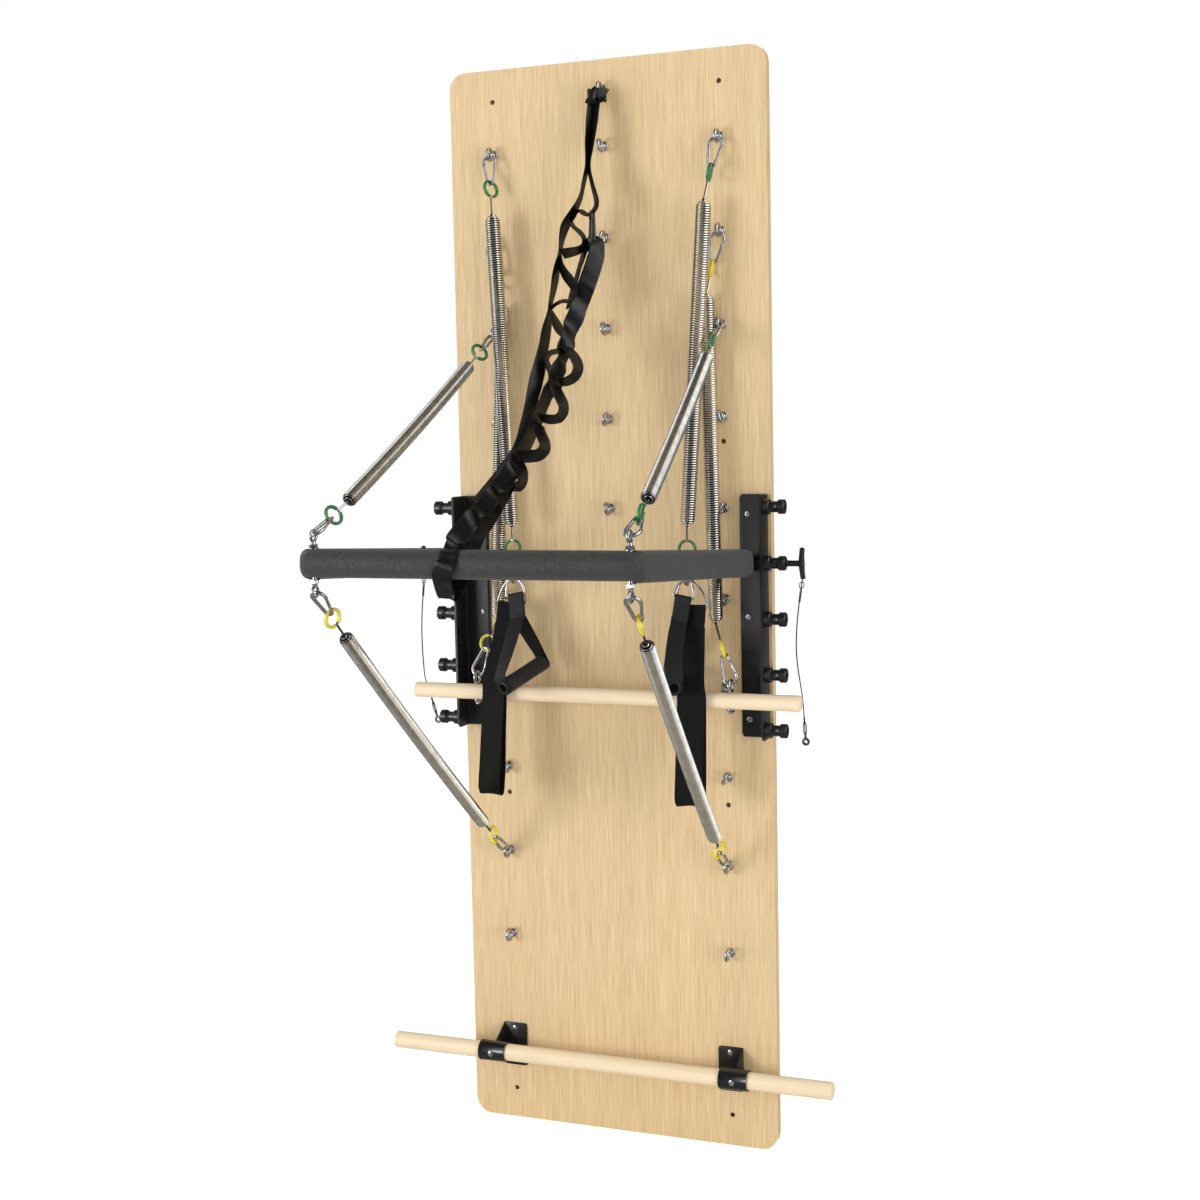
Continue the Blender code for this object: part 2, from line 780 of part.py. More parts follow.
def bar_route(end_distance):
    """From one arm's end, round both corners, to the other's. Each corner is cut once."""
    ease = 0.010
    left, right = bar_corner(-1), bar_corner(1)
    step = Vector((ease, 0, 0))
    return [
        bar_arm_point(-1, end_distance),
        bar_arm_point(-1, BAR_REACH - ease),
        left + step,
        right - step,
        bar_arm_point(1, BAR_REACH - ease),
        bar_arm_point(1, end_distance),
    ]


def eye_bolt_line(sign):
    return place(sign * (BAR_HALF_WIDTH - 0.005), BAR_REACH - 0.004, BAR_HEIGHT_Z)


def add_push_bar(axis):
    tube = swept(tube_sections(bar_route(BAR_TUBE_END), BAR_TUBE_RADIUS, ROUND))
    inside = BAR_TUBE_RADIUS - BAR_TUBE_WALL
    hollow = swept(tube_sections(bar_route(BAR_TUBE_END - 0.01), inside, 6))
    pad = swept(tube_sections(bar_route(BAR_PAD_END), BAR_PAD_RADIUS, ROUND))
    core = swept(tube_sections(bar_route(BAR_PAD_END - 0.01), BAR_TUBE_RADIUS + SEAT_GAP, ROUND))
    bolts = [
        cylinder(
            eye_bolt_line(sign) - Vector((0, 0, BAR_PAD_RADIUS + 0.02)),
            eye_bolt_line(sign) + Vector((0, 0, BAR_PAD_RADIUS + 0.02)),
            BAR_EYE_BOLT + BORE_GAP,
            6,
        )
        for sign in SIDES.values()
    ]
    pin_bores = [
        cylinder(
            place(sign * (BAR_HALF_WIDTH - 0.03), BUSH_REACH, PIVOT_Z),
            place(sign * (BAR_HALF_WIDTH + 0.03), BUSH_REACH, PIVOT_Z),
            PIN_RADIUS + BORE_GAP,
            10,
        )
        for sign in SIDES.values()
    ]
    add("push_bar_tube", cut(tube, [hollow, *bolts, *pin_bores]), "black_steel", axis)
    add("push_bar_pad", cut(pad, [core, *bolts]), "grey_foam", axis)


def bar_eye_centre(side, level):
    return eye_bolt_line(SIDES[side]) + Vector((0, 0, level * (BAR_PAD_RADIUS + BAR_EYE_OUT)))


def add_bar_eyes(side, axis):
    """One bolt through the bar's corner with a swivel eye at each end."""
    line = eye_bolt_line(SIDES[side])
    nut_out = BAR_EYE_OUT - BAR_EYE_RADIUS
    slope = (BAR_HEIGHT_Z - PIVOT_Z) / (BAR_REACH - BUSH_REACH)
    clear = {1: SEAT_GAP, -1: SEAT_GAP + slope * (2 * BAR_EYE_NUT)}
    low = line - Vector((0, 0, BAR_PAD_RADIUS + nut_out))
    high = line + Vector((0, 0, BAR_PAD_RADIUS + nut_out))
    parts = [cylinder(low, high, BAR_EYE_BOLT, 6)]
    for level in (-1, 1):
        seat = line + Vector((0, 0, level * (BAR_PAD_RADIUS + clear[level])))
        parts.append(cylinder(seat, seat + Vector((0, 0, level * (nut_out - 0.001))), BAR_EYE_NUT, 6))
        parts.append(ring_mesh(bar_eye_centre(side, level), (1, 0, 0), BAR_EYE_RADIUS, BAR_EYE_WIRE, 12, 4))
    add(f"bar_eye_bolt_{side}", combined(parts), "zinc_steel", axis)


def ring_contact(centre, radius, toward, normal):
    """The point on a ring's own wire that faces the pull."""
    pull = Vector(toward) - centre
    pull -= normal * pull.dot(normal)
    return centre + pull.normalized() * radius


CROSS = Vector((1, 0, 0))


def add_bar_spring(side, level, bar_axis):
    """Upper or lower bar spring with a carabiner at each end, from a panel eye to a bar eye."""
    word = "upper" if level > 0 else "lower"
    board_eye = eye_centre(side, BAR_TOP_ROW if level > 0 else BAR_LOW_ROW)
    bar_eye = bar_eye_centre(side, level)
    at_board = ring_contact(board_eye, EYE_RADIUS, bar_eye, CROSS)
    at_bar = ring_contact(bar_eye, BAR_EYE_RADIUS, board_eye, CROSS)
    far_board = add_carabiner(f"bar_carabiner_{word}_wall_{side}", at_board, at_bar, CROSS)
    far_bar = add_carabiner(f"bar_carabiner_{word}_bar_{side}", at_bar, at_board, CROSS, bar_axis)
    catch_board = ring_catch(far_board, at_bar)
    catch_bar = ring_catch(far_bar, at_board)
    reach = 2 * END_RING_RADIUS + HOOK_LENGTH
    pull = unit(catch_bar - catch_board)
    normal = unit(CROSS - pull * CROSS.dot(pull))
    start, end = catch_board + pull * reach, catch_bar - pull * reach
    add_spring(
        f"bar_spring_{word}_{side}", catch_board, start, end, catch_bar,
        BAR_SPRING_RADIUS, (normal, normal),
    )


# Handle springs with their handles and foot loops


def add_handle_spring(side):
    axis = axis_at(f"handle_spring_{side}_axis", eye_centre(side, GREEN_ROW))
    start = mirrored(GREEN_SPRING_TOP, side)
    end = mirrored(GREEN_SPRING_LOW, side)
    hang = mirrored(HANDLE_RING_TOP, side)
    eye = ring_contact(eye_centre(side, GREEN_ROW), EYE_RADIUS, start, CROSS)
    far_top = add_carabiner(f"handle_carabiner_top_{side}", eye, start, CROSS, axis)
    depth = Vector((0, 1, 0))
    far_low = add_carabiner(f"handle_carabiner_low_{side}", hang, end, depth, axis)
    catch_top, catch_low = ring_catch(far_top, start), ring_catch(far_low, end)
    top_normal = Vector((1, 0, 0))
    add_spring(
        f"handle_spring_{side}", catch_top, start, end, catch_low,
        HANDLE_SPRING_RADIUS, (top_normal, depth), axis,
    )
    return axis


def d_ring(bar, width, height, shift, lean):
    """A D: a straight bar across, and a bow whose flat top stands aside by shift and back by lean."""
    half = width / 2
    loop = []
    for a in (math.radians(d) for d in (0, 36, 72, 108, 144, 180)):
        rise = math.sin(a) / math.sin(math.radians(72))
        loop.append(bar + Vector((half * math.cos(a) + shift * rise, lean * rise, height * rise)))
    angles = [2 * math.pi * n / 5 for n in range(5)]
    plane = unit((loop[0] - loop[-1]).cross(Vector((shift, lean, height))))
    sections = []
    for point, along in zip(loop, tangents(loop, closed=True)):
        out = along.cross(plane)
        sections.append(
            [point + out * (RING_WIRE * math.cos(a)) + plane * (RING_WIRE * math.sin(a)) for a in angles]
        )
    return swept(sections, closed=True)


def ring_bars(side):
    """The middles of the straight bars of the handle's D ring and of the foot loop's."""
    sign = SIDES[side]
    x, reach, z = HANDLE_RING_TOP
    top = z + 0.0001
    handle = place(sign * x, reach + RING_SPLIT, top - HANDLE_RING_HEIGHT)
    loop = place(sign * (x + LOOP_RING_SHIFT), reach - LOOP_RING_BACK, top - LOOP_RING_HEIGHT)
    return handle, loop


def fold_over(bar, low, width, across):
    """Webbing folded round a ring's straight bar and sewn flat down to the point low."""
    down = unit(low - bar)
    face = unit(across.cross(down))
    wall = WEB_THICKNESS
    outer = RING_WIRE + wall * 0.8
    angles = [math.radians(a) for a in (0, 45, 90, 135, 180)]
    arc = [bar + face * (outer * math.cos(a)) - down * (outer * math.sin(a)) for a in angles]
    neck = bar + down * (2 * outer)
    outline = [low + face * wall, neck + face * wall, *arc, neck - face * wall, low - face * wall]
    side = unit(across) * (width / 2)
    return swept([[p - side for p in outline], [p + side for p in outline]])


def leg(start, end, grip_way, width, thickness):
    """One leg of the stirrup: webbing from the fold down to a tab across the grip's end."""
    rise = start - end
    rise = (rise - grip_way * rise.dot(grip_way)).normalized()
    flat = grip_way.cross(rise)
    across = Vector((1, 0, 0))
    flat = flat if flat.dot(across) > 0 else -flat
    knee = end + rise * (GRIP_RADIUS + 0.005)
    points = [start, start.lerp(knee, 0.5), knee, end]
    return ribbon(points, width, thickness, [across, across.lerp(flat, 0.6), flat, flat])


def add_handle(side):
    """A stirrup handle: its D ring, the folded webbing and the tabs that carry the grip."""
    ring_bar = ring_bars(side)[0]
    axis = axis_at(f"handle_{side}_axis", ring_bar + Vector((0, 0, HANDLE_RING_HEIGHT)))
    near, far = (place(*GRIP_ENDS[side][k]) for k in (0, 1))
    along = unit(far - near)
    split = place(ring_bar.x, HANDLE_SPLIT_REACH, HANDLE_SPLIT_Z)
    across = Vector((1, 0, 0))
    fold = fold_over(ring_bar, split, HANDLE_WEB, across)
    lean = RING_SPLIT - RING_SPLIT_TOP
    ring = d_ring(ring_bar, HANDLE_RING_WIDTH, HANDLE_RING_HEIGHT, 0.0, lean)
    tab = WEB_THICKNESS * 1.2
    shapes = [fold, ring]
    for end in (near, far):
        start = split + Vector((0, 0, 0.004))
        shapes.append(leg(start, end, along, HANDLE_WEB, WEB_THICKNESS))
        shapes.append(cylinder(end - along * tab / 2, end + along * tab / 2, HANDLE_TAB_RADIUS, 9))
    bores = [cylinder(near - along * 0.01, far + along * 0.01, GRIP_BORE, 8)]
    clear = near + along * (tab / 2), far - along * (tab / 2)
    grip_room = cylinder(clear[0], clear[1], GRIP_RADIUS + 0.001, 12)
    add(f"handle_strap_{side}", cut(combined(shapes), [*bores, grip_room]), "black_webbing", axis)
    spin = axis_at(f"grip_{side}_axis", (near + far) / 2)
    grip = cylinder(clear[0] + along * SEAT_GAP, clear[1] - along * SEAT_GAP, GRIP_RADIUS, ROUND)
    hole = cylinder(near - along * 0.01, far + along * 0.01, GRIP_BORE, 8)
    add(f"handle_grip_{side}", cut(grip, [hole]), "grey_foam", spin)


def add_foot_loop(side, axis):
    """A long flat loop of webbing: sewn together below its D ring, open lower down."""
    ring_bar = ring_bars(side)[1]
    shift = -SIDES[side] * LOOP_RING_SHIFT
    lean = RING_SPLIT_TOP - LOOP_RING_BACK
    ring = d_ring(ring_bar, LOOP_RING_WIDTH, LOOP_RING_HEIGHT, shift, lean)
    ring_bar = ring_bar + Vector((SIDES[side] * LOOP_FOLD_SHIFT, 0, 0))
    middle, bottom = place(*FOOT_LOOP_MIDDLE[side]), place(*FOOT_LOOP_BOTTOM[side])
    open_from = ring_bar.lerp(middle, 0.45)
    across = Vector((1, 0, 0))
    fold = fold_over(ring_bar, open_from, FOOT_WEB_AT_RING, across)
    gap_low, gap_mid = 0.0085, 0.0045
    shift = Vector((0, 1, 0))
    front = [open_from.lerp(bottom, 0.0) + Vector((0, 0, 0.006)), middle - shift * gap_mid,
             bottom - shift * gap_low + Vector((0, 0, 0.010))]
    turn = [bottom - shift * (gap_low * 0.7), bottom - Vector((0, 0, 0.003)), bottom + shift * (gap_low * 0.7)]
    back = [bottom + shift * gap_low + Vector((0, 0, 0.010)), middle + shift * gap_mid]
    points = [*front, *turn, *back]
    half_way = (FOOT_WEB_AT_RING + FOOT_WEB) / 2 + 0.008
    widths = [FOOT_WEB_AT_RING, half_way, FOOT_WEB, FOOT_WEB, FOOT_WEB, FOOT_WEB, FOOT_WEB, half_way]
    loop = ribbon(points, widths, WEB_THICKNESS, across, closed=True)
    add(f"foot_loop_{side}", combined([fold, ring, loop]), "black_webbing", axis)


# Roll-down bar and its springs


def roll_eye_centre(side):
    return place(SIDES[side] * ROLL_EYE_X, ROLL_BAR_REACH, ROLL_BAR_Z + ROLL_BAR_RADIUS + ROLL_EYE_OUT)


def add_roll_down():
    axis = axis_at("roll_down_axis", place(0, ROLL_BAR_REACH, ROLL_BAR_Z))
    half = ROLL_BAR_LENGTH / 2
    reach = ROLL_BAR_REACH
    chamfer = 0.003
    dowel = spool(
        place(-half, reach, ROLL_BAR_Z), (1, 0, 0),
        [(0, ROLL_BAR_RADIUS - chamfer), (chamfer, ROLL_BAR_RADIUS),
         (2 * half - chamfer, ROLL_BAR_RADIUS), (2 * half, ROLL_BAR_RADIUS - chamfer)], 16,
    )
    bores = []
    for side in SIDES:
        centre = roll_eye_centre(side)
        start = mirrored(YELLOW_SPRING_TOP, side)
        end = mirrored(YELLOW_SPRING_LOW, side)
        wall_eye = eye_centre(side, YELLOW_ROW)
        at_wall = ring_contact(wall_eye, EYE_RADIUS, start, CROSS)
        at_bar = ring_contact(centre, EYE_RADIUS, end, CROSS)
        far_top = add_carabiner(f"roll_down_carabiner_top_{side}", at_wall, start, CROSS)
        far_low = add_carabiner(f"roll_down_carabiner_low_{side}", at_bar, end, CROSS, axis)
        catch_top, catch_low = ring_catch(far_top, start), ring_catch(far_low, end)
        add_spring(
            f"roll_down_spring_{side}", catch_top, start, end, catch_low,
            HANDLE_SPRING_RADIUS, (CROSS, CROSS),
        )
        bottom = centre - Vector((0, 0, ROLL_EYE_OUT + 2 * ROLL_BAR_RADIUS + ROLL_BOLT_BELOW))
        shank = cylinder(bottom, centre - Vector((0, 0, EYE_RADIUS)), SHANK_RADIUS, 6)
        seat_top = centre.z - ROLL_EYE_OUT + SEAT_GAP
        seat_low = centre.z - ROLL_EYE_OUT - 2 * ROLL_BAR_RADIUS - SEAT_GAP
        collar = cylinder((centre.x, centre.y, seat_top), (centre.x, centre.y, seat_top + 0.003), 0.006, 8)
        nut = cylinder((centre.x, centre.y, seat_low), (centre.x, centre.y, seat_low - 0.005), 0.006, 6)
        eye = ring_mesh(centre, (1, 0, 0), EYE_RADIUS, EYE_WIRE, 12, 5)
        add(f"roll_down_eye_{side}", combined([eye, shank, collar, nut]), "zinc_steel", axis)
        bores.append(cylinder(bottom, centre, SHANK_RADIUS + BORE_GAP, 8))
    add("roll_down_bar", cut(dowel, bores), "pale_wood", axis)


# Foot bar


def add_foot_bar():
    centre = FOOT_BAR_SHIFT
    half = FOOT_BAR_LENGTH / 2
    chamfer = 0.003
    dowel = spool(
        place(centre - half, FOOT_BAR_REACH, FOOT_BAR_Z), (1, 0, 0),
        [(0, FOOT_BAR_RADIUS - chamfer), (chamfer, FOOT_BAR_RADIUS),
         (2 * half - chamfer, FOOT_BAR_RADIUS), (2 * half, FOOT_BAR_RADIUS - chamfer)], 16,
    )
    add("foot_bar", dowel, "pale_wood")
    wall = FOOT_PLATE_WALL
    inner = FOOT_BAR_RADIUS + SEAT_GAP
    for side, sign in SIDES.items():
        low_x = min(sign * FOOT_PLATE_INNER_X, sign * FOOT_PLATE_OUTER_X)
        high_x = max(sign * FOOT_PLATE_INNER_X, sign * FOOT_PLATE_OUTER_X)
        back = block(
            (low_x, ahead(SEAT_GAP + wall), FOOT_PLATE_BOTTOM_Z),
            (high_x, ahead(SEAT_GAP), FOOT_PLATE_TOP_Z),
        )
        outer_x = sign * FOOT_PLATE_OUTER_X
        meets = FOOT_BAR_REACH - 0.010
        gusset = plate(
            [
                (0, ahead(SEAT_GAP), FOOT_PLATE_TOP_Z),
                (0, ahead(SEAT_GAP), FOOT_PLATE_BOTTOM_Z),
                (0, ahead(meets), FOOT_BAR_Z - inner - wall / 2),
                (0, ahead(meets), FOOT_BAR_Z + inner + wall / 2),
            ],
            (outer_x, 0, 0), (outer_x - sign * wall, 0, 0),
        )
        clamp_x = outer_x - sign * wall / 2
        ends = [
            place(clamp_x + step * FOOT_CLAMP_WIDTH / 2, FOOT_BAR_REACH, FOOT_BAR_Z) for step in (-1, 1)
        ]
        band = cylinder(*ends, inner + wall, 16)
        heads = [
            screw_head(place(sign * (FOOT_PLATE_INNER_X + FOOT_PLATE_OUTER_X) / 2, SEAT_GAP + wall, FOOT_SCREW_Z)),
            screw_head(place(clamp_x, FOOT_BAR_REACH + inner + wall - 0.0005, FOOT_BAR_Z)),
        ]
        over = Vector((0.01, 0, 0))
        bore = cylinder(ends[0] - over, ends[1] + over, inner, 16)
        body = combined([band, gusset, back, *heads])
        add(f"foot_bar_bracket_{side}", cut(body, [bore]), "black_steel")


# Safety strap


def add_strap():
    across = Vector((1, 0, 0))
    route = [place(*p) for p in STRAP_ROUTE]
    widths = [0.010, 0.016, 0.014, 0.024] + [STRAP_WIDTH] * 4 + [STRAP_LOOP_WIDTH] * 2
    thick = [STRAP_THICKNESS] * 8 + [STRAP_LOOP_WALL] * 2
    strand = ribbon(route, widths, thick, across)
    inside = BAR_PAD_RADIUS + 0.0008
    drop = STRAP_LOOP_DROP
    centre = place(STRAP_LOOP_X, BAR_REACH, BAR_HEIGHT_Z)
    ring = []
    for k in range(16):
        a = 2 * math.pi * k / 16
        low = drop * max(0.0, -math.sin(a)) ** 2
        radius = inside / math.cos(math.pi / 16) + STRAP_LOOP_WALL / 2
        ring.append(centre + Vector((0, -radius * math.cos(a), radius * math.sin(a) - low)))
    loop = ribbon(ring, STRAP_LOOP_WIDTH, STRAP_LOOP_WALL, across, closed=True)
    add("safety_strap", combined([strand, loop]), "black_webbing")
    top, low = place(*STRAP_CARABINER_TOP), place(*STRAP_CARABINER_LOW)
    points = carabiner_points(low, top, across)
    wire("strap_carabiner", points, STRAP_CARABINER_WIRE, "black_steel", closed=True)


def build():
    clear_scene()
    add_panel()
    add_eyebolts()
    bar_axis = axis_at("push_bar_axis", place(0, BUSH_REACH, PIVOT_Z))
    add_push_bar(bar_axis)
    for side in SIDES:
        add_bracket(side)
        pin_axis = add_lock_pin(side)
        add_lanyard(side, pin_axis)
        add_bar_eyes(side, bar_axis)
        add_bar_spring(side, 1, bar_axis)
        add_bar_spring(side, -1, bar_axis)
        spring_axis = add_handle_spring(side)
        add_handle(side)
        add_foot_loop(side, spring_axis)
    add_roll_down()
    add_foot_bar()
    add_strap()


build()
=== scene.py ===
"""Pilates springboard: wall panel, springs, bars, handles, loops and strap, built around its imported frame.

Metres, +Z up. The origin is the centre of the panel's back face, and the front faces -Y.
"""

import json
import math

import bpy
import numpy as np
from mathutils import Matrix

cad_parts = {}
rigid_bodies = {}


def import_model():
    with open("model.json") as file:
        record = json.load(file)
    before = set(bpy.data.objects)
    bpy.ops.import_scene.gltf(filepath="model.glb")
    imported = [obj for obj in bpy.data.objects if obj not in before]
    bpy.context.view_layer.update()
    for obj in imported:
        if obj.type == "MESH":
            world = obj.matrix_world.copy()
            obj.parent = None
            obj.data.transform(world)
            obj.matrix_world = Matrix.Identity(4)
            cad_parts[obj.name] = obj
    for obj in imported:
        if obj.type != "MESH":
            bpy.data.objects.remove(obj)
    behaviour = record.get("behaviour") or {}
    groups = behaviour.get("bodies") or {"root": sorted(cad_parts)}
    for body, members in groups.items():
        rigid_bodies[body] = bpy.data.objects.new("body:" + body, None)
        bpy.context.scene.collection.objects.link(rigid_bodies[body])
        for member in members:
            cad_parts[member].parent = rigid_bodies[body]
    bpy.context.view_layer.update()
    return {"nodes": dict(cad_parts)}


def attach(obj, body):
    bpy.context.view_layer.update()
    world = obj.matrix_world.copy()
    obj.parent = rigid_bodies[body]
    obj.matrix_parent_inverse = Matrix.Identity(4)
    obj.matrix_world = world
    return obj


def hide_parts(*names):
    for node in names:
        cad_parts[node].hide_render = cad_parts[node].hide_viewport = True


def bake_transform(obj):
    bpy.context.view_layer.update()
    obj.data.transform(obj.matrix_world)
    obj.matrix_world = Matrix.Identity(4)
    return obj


for leftover in list(bpy.data.objects):
    bpy.data.objects.remove(leftover, do_unlink=True)

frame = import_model()

bl_info = {
    "name": "Pilates springboard",
    "version": (1, 0, 0),
    "blender": (4, 5, 0),
    "location": "3D View > Sidebar > Springboard",
    "description": "Builds a wall-mounted pilates springboard around its fixed frame",
    "category": "Add Mesh",
}

SIDES = {"left": -1, "right": 1}
BOARD_THICKNESS = 0.020
WALL_SCREW_X, WALL_SCREW_HEIGHTS = 0.220, (0.942, 0.308, -0.356, -0.942)

# Eyes in the board
EYE_X, EYE_TOP, EYE_PITCH, EYE_REACH = 0.2205, 0.8445, 0.1641, 0.017
EYE_RADIUS, EYE_WIRE = 0.0105, 0.0031
STRAP_EYE_Z = 0.945
CARRYING_ROWS = {"handle_spring": 0, "roll_down": 1, "bar_spring_upper": 2, "bar_spring_lower": 8}
SPARE_ROWS, MIDDLE_ROWS = (3, 4, 5, 6, 7, 9), 5

# Carabiners, end rings and springs
CARABINER, CARABINER_WIRE, WIDE_END, NARROW_END = 0.060, 0.0031, 0.0122, 0.0062
END_RING, HOOK_WIRE = 0.0150, 0.0019
# The gap left between parts that pull on each other
TOUCH = 0.0001
# Outer radius, wire radius, pitch and the turns over which each end is drawn in
HUNG_COIL = (0.0145, 0.00134, 0.0042, 3.4)
BAR_COIL = (0.0127, 0.00128, 0.00262, 3.0)
# A spring wire's sides, and the way round it in radii
WIRE_SIDES, WIRE_ROUND = 7, 6.074
GREEN_TOP, GREEN_LOW = (0.2049, 0.0460, 0.7329), (0.1712, 0.0660, 0.1574)
YELLOW_TOP, YELLOW_LOW = (0.1995, 0.0220, 0.5700), (0.2155, 0.0450, -0.0170)
RING_TOP = (0.1695, 0.0665, 0.0607)

# Side brackets and lock pins
BRACKET_IN, BRACKET_OUT, BRACKET_DEEP, BRACKET_WALL = 0.250, 0.303, 0.050, 0.004
BRACKET_TOP, BRACKET_LOW = 0.213, -0.227
BRACKET_SCREW_X, BRACKET_SCREWS = 0.2647, (0.1774, -0.008, -0.1946)
BUSH_HEIGHTS = (0.1915, 0.0915, -0.0085, -0.1085, -0.2085)
BUSH_REACH, BUSH_LENGTH, PIVOT_Z = 0.034, 0.040, 0.0915
PIN_START, PIN_STEM, PIN_HANDLE, PIN_THICK = 0.2615, 0.024, 0.057, 0.011

# Push-through bar
BAR_HALF, BAR_REACH, BAR_Z = 0.2735, 0.616, 0.129
TUBE_EASE, PAD_EASE, PAD_SQUARE = 0.012, 0.006, 0.62
TUBE_RADIUS, TUBE_END, PAD_END = 0.0160, 0.014, 0.060
PAD_RADIUS, PAD_SIDE, PAD_FRONT, PAD_RAISED = 0.0246, 0.0195, 0.0230, 0.0013
BAR_EYE, BAR_EYE_WIRE, BAR_EYE_OUT = 0.0085, 0.0024, 0.0200

# Roll-down bar and foot bar
ROLL_RADIUS, ROLL_LENGTH, ROLL_REACH, ROLL_Z = 0.0145, 0.756, 0.0694, -0.1524
ROLL_EYE_X, ROLL_EYE_OUT = 0.249, 0.0125
FOOT_RADIUS, FOOT_LENGTH, FOOT_SHIFT, FOOT_REACH, FOOT_Z = 0.0160, 0.878, -0.0137, 0.052, -0.853
PLATE_IN, PLATE_OUT, PLATE_TOP, PLATE_LOW = 0.195, 0.243, -0.811, -0.895
PLATE_WALL, PLATE_SCREW_Z, CLAMP_WIDTH, GUSSET_DEEP = 0.003, -0.8215, 0.054, 0.042

# Handles and foot loops
GRIP_ENDS = {
    "left": ((-0.1570, 0.1480, -0.1310), (-0.1200, 0.0520, -0.0950)),
    "right": ((0.1672, 0.1400, -0.1215), (0.1300, 0.0450, -0.1050)),
}
GRIP_RADIUS, HANDLE_WEB, WEB = 0.0147, 0.0305, 0.0025
STITCH_HALF, STITCH_LENGTH, SEAM_PITCH, SEAM_LIFT = 0.011, 0.0028, 0.0037, 0.0027
D_WIRE, HANDLE_RING_WIDTH, HANDLE_RING_HEIGHT, HANDLE_RING_LEAN = 0.0020, 0.038, 0.030, 0.0033
HANDLE_RING_AHEAD, HANDLE_TILT, HANDLE_SPLIT = 0.0065, 0.19, (0.0055, 0.0785, -0.010)
LOOP_RING_WIDTH, LOOP_RING_HEIGHT, LOOP_RING_LEAN, LOOP_RING_SHIFT = 0.056, 0.047, -0.0018, 0.009
LOOP_RING_BEHIND = 0.0050
LOOP_BOTTOM = {"left": (-0.2070, 0.1080, -0.3350), "right": (0.1860, 0.1080, -0.3350)}
LOOP_MIDDLE = {"left": (-0.2010, 0.0950, -0.1520), "right": (0.1865, 0.0950, -0.1520)}
FOOT_WEB, FOOT_WEB_TOP = 0.049, 0.033

# Lanyards: x beside the centre and height, at the lock pins' own depth
LANYARDS = {
    "left": (
        (-0.3728, 0.0627), (-0.3762, 0.0290), (-0.3797, -0.0058), (-0.3815, -0.0406), (-0.3815, -0.0735),
        (-0.3798, -0.1084), (-0.3771, -0.1355), (-0.3647, -0.1740), (-0.3552, -0.2050),
    ),
    "right": (
        (0.3728, 0.0627), (0.3651, 0.0093), (0.3622, -0.0200), (0.3606, -0.0584), (0.3630, -0.0922),
        (0.3680, -0.1261), (0.3710, -0.1475), (0.3730, -0.1700), (0.3757, -0.2150),
    ),
}
LANYARD_RADIUS = 0.0011


# Places and directions


def at(x, ahead, z):
    """A point given as x beside the centre, distance ahead of the board's face, and height."""
    return np.array([x, -(BOARD_THICKNESS + ahead), z], float)


def on_side(point, side):
    x, ahead, z = point
    return at(SIDES[side] * x, ahead, z)


def unit(vectors):
    """Each vector divided by its own length."""
    vectors = np.asarray(vectors, float)
    return vectors / np.linalg.norm(vectors, axis=-1, keepdims=True)


def square_to(vectors, along):
    """What is left of each vector after its share along a unit direction is taken off, made a unit."""
    vectors = np.broadcast_to(np.asarray(vectors, float), along.shape)
    return unit(vectors - along * (vectors * along).sum(-1, keepdims=True))


def walked_along(path):
    """The distance from a path's first point to each of its points; its first three columns are places."""
    return np.concatenate([[0], np.cumsum(np.linalg.norm(np.diff(path[:, :3], axis=0), axis=1))])


def sampled(places, walked, path):
    """The path's rows at given distances along it."""
    return np.stack([np.interp(places, walked, path[:, k]) for k in range(path.shape[1])], axis=1)


def spline(before, start, end, after):
    """Sixteen points on each Catmull-Rom stretch from start to end."""
    t = (np.arange(16) / 16)[None, :, None]
    a, b, c, d = (p[:, None] for p in (before, start, end, after))
    fine = 0.5 * (2 * b + (c - a) * t + (2 * a - 5 * b + 4 * c - d) * t**2 + (3 * b - a - 3 * c + d) * t**3)
    return fine.reshape(-1, start.shape[1])


def smooth(points, spacing):
    """An evenly spaced open curve through the points; extra columns are carried along with it."""
    p = np.asarray(points, float)
    p = np.vstack([2 * p[0] - p[1], p, 2 * p[-1] - p[-2]])
    fine = np.vstack([spline(p[:-3], p[1:-2], p[2:-1], p[3:]), p[-2]])
    walked = walked_along(fine)
    return sampled(np.linspace(0, walked[-1], max(3, round(walked[-1] / spacing) + 1)), walked, fine)


def smooth_ring(points, spacing):
    """An evenly spaced closed curve through the points."""
    p = np.asarray(points, float)
    fine = spline(np.roll(p, 1, 0), p, np.roll(p, -1, 0), np.roll(p, -2, 0))
    fine = np.vstack([fine, fine[:1]])
    walked = walked_along(fine)
    wanted = np.linspace(0, walked[-1], max(8, round(walked[-1] / spacing)), endpoint=False)
    return sampled(wanted, walked, fine)


def headings(path, ring):
    """The unit direction of travel at each point, from the neighbours on both sides."""
    if ring:
        return unit(np.roll(path, -1, axis=0) - np.roll(path, 1, axis=0))
    return unit(np.gradient(path, axis=0))


# Shells: closed surfaces as flat arrays, joined into pieces


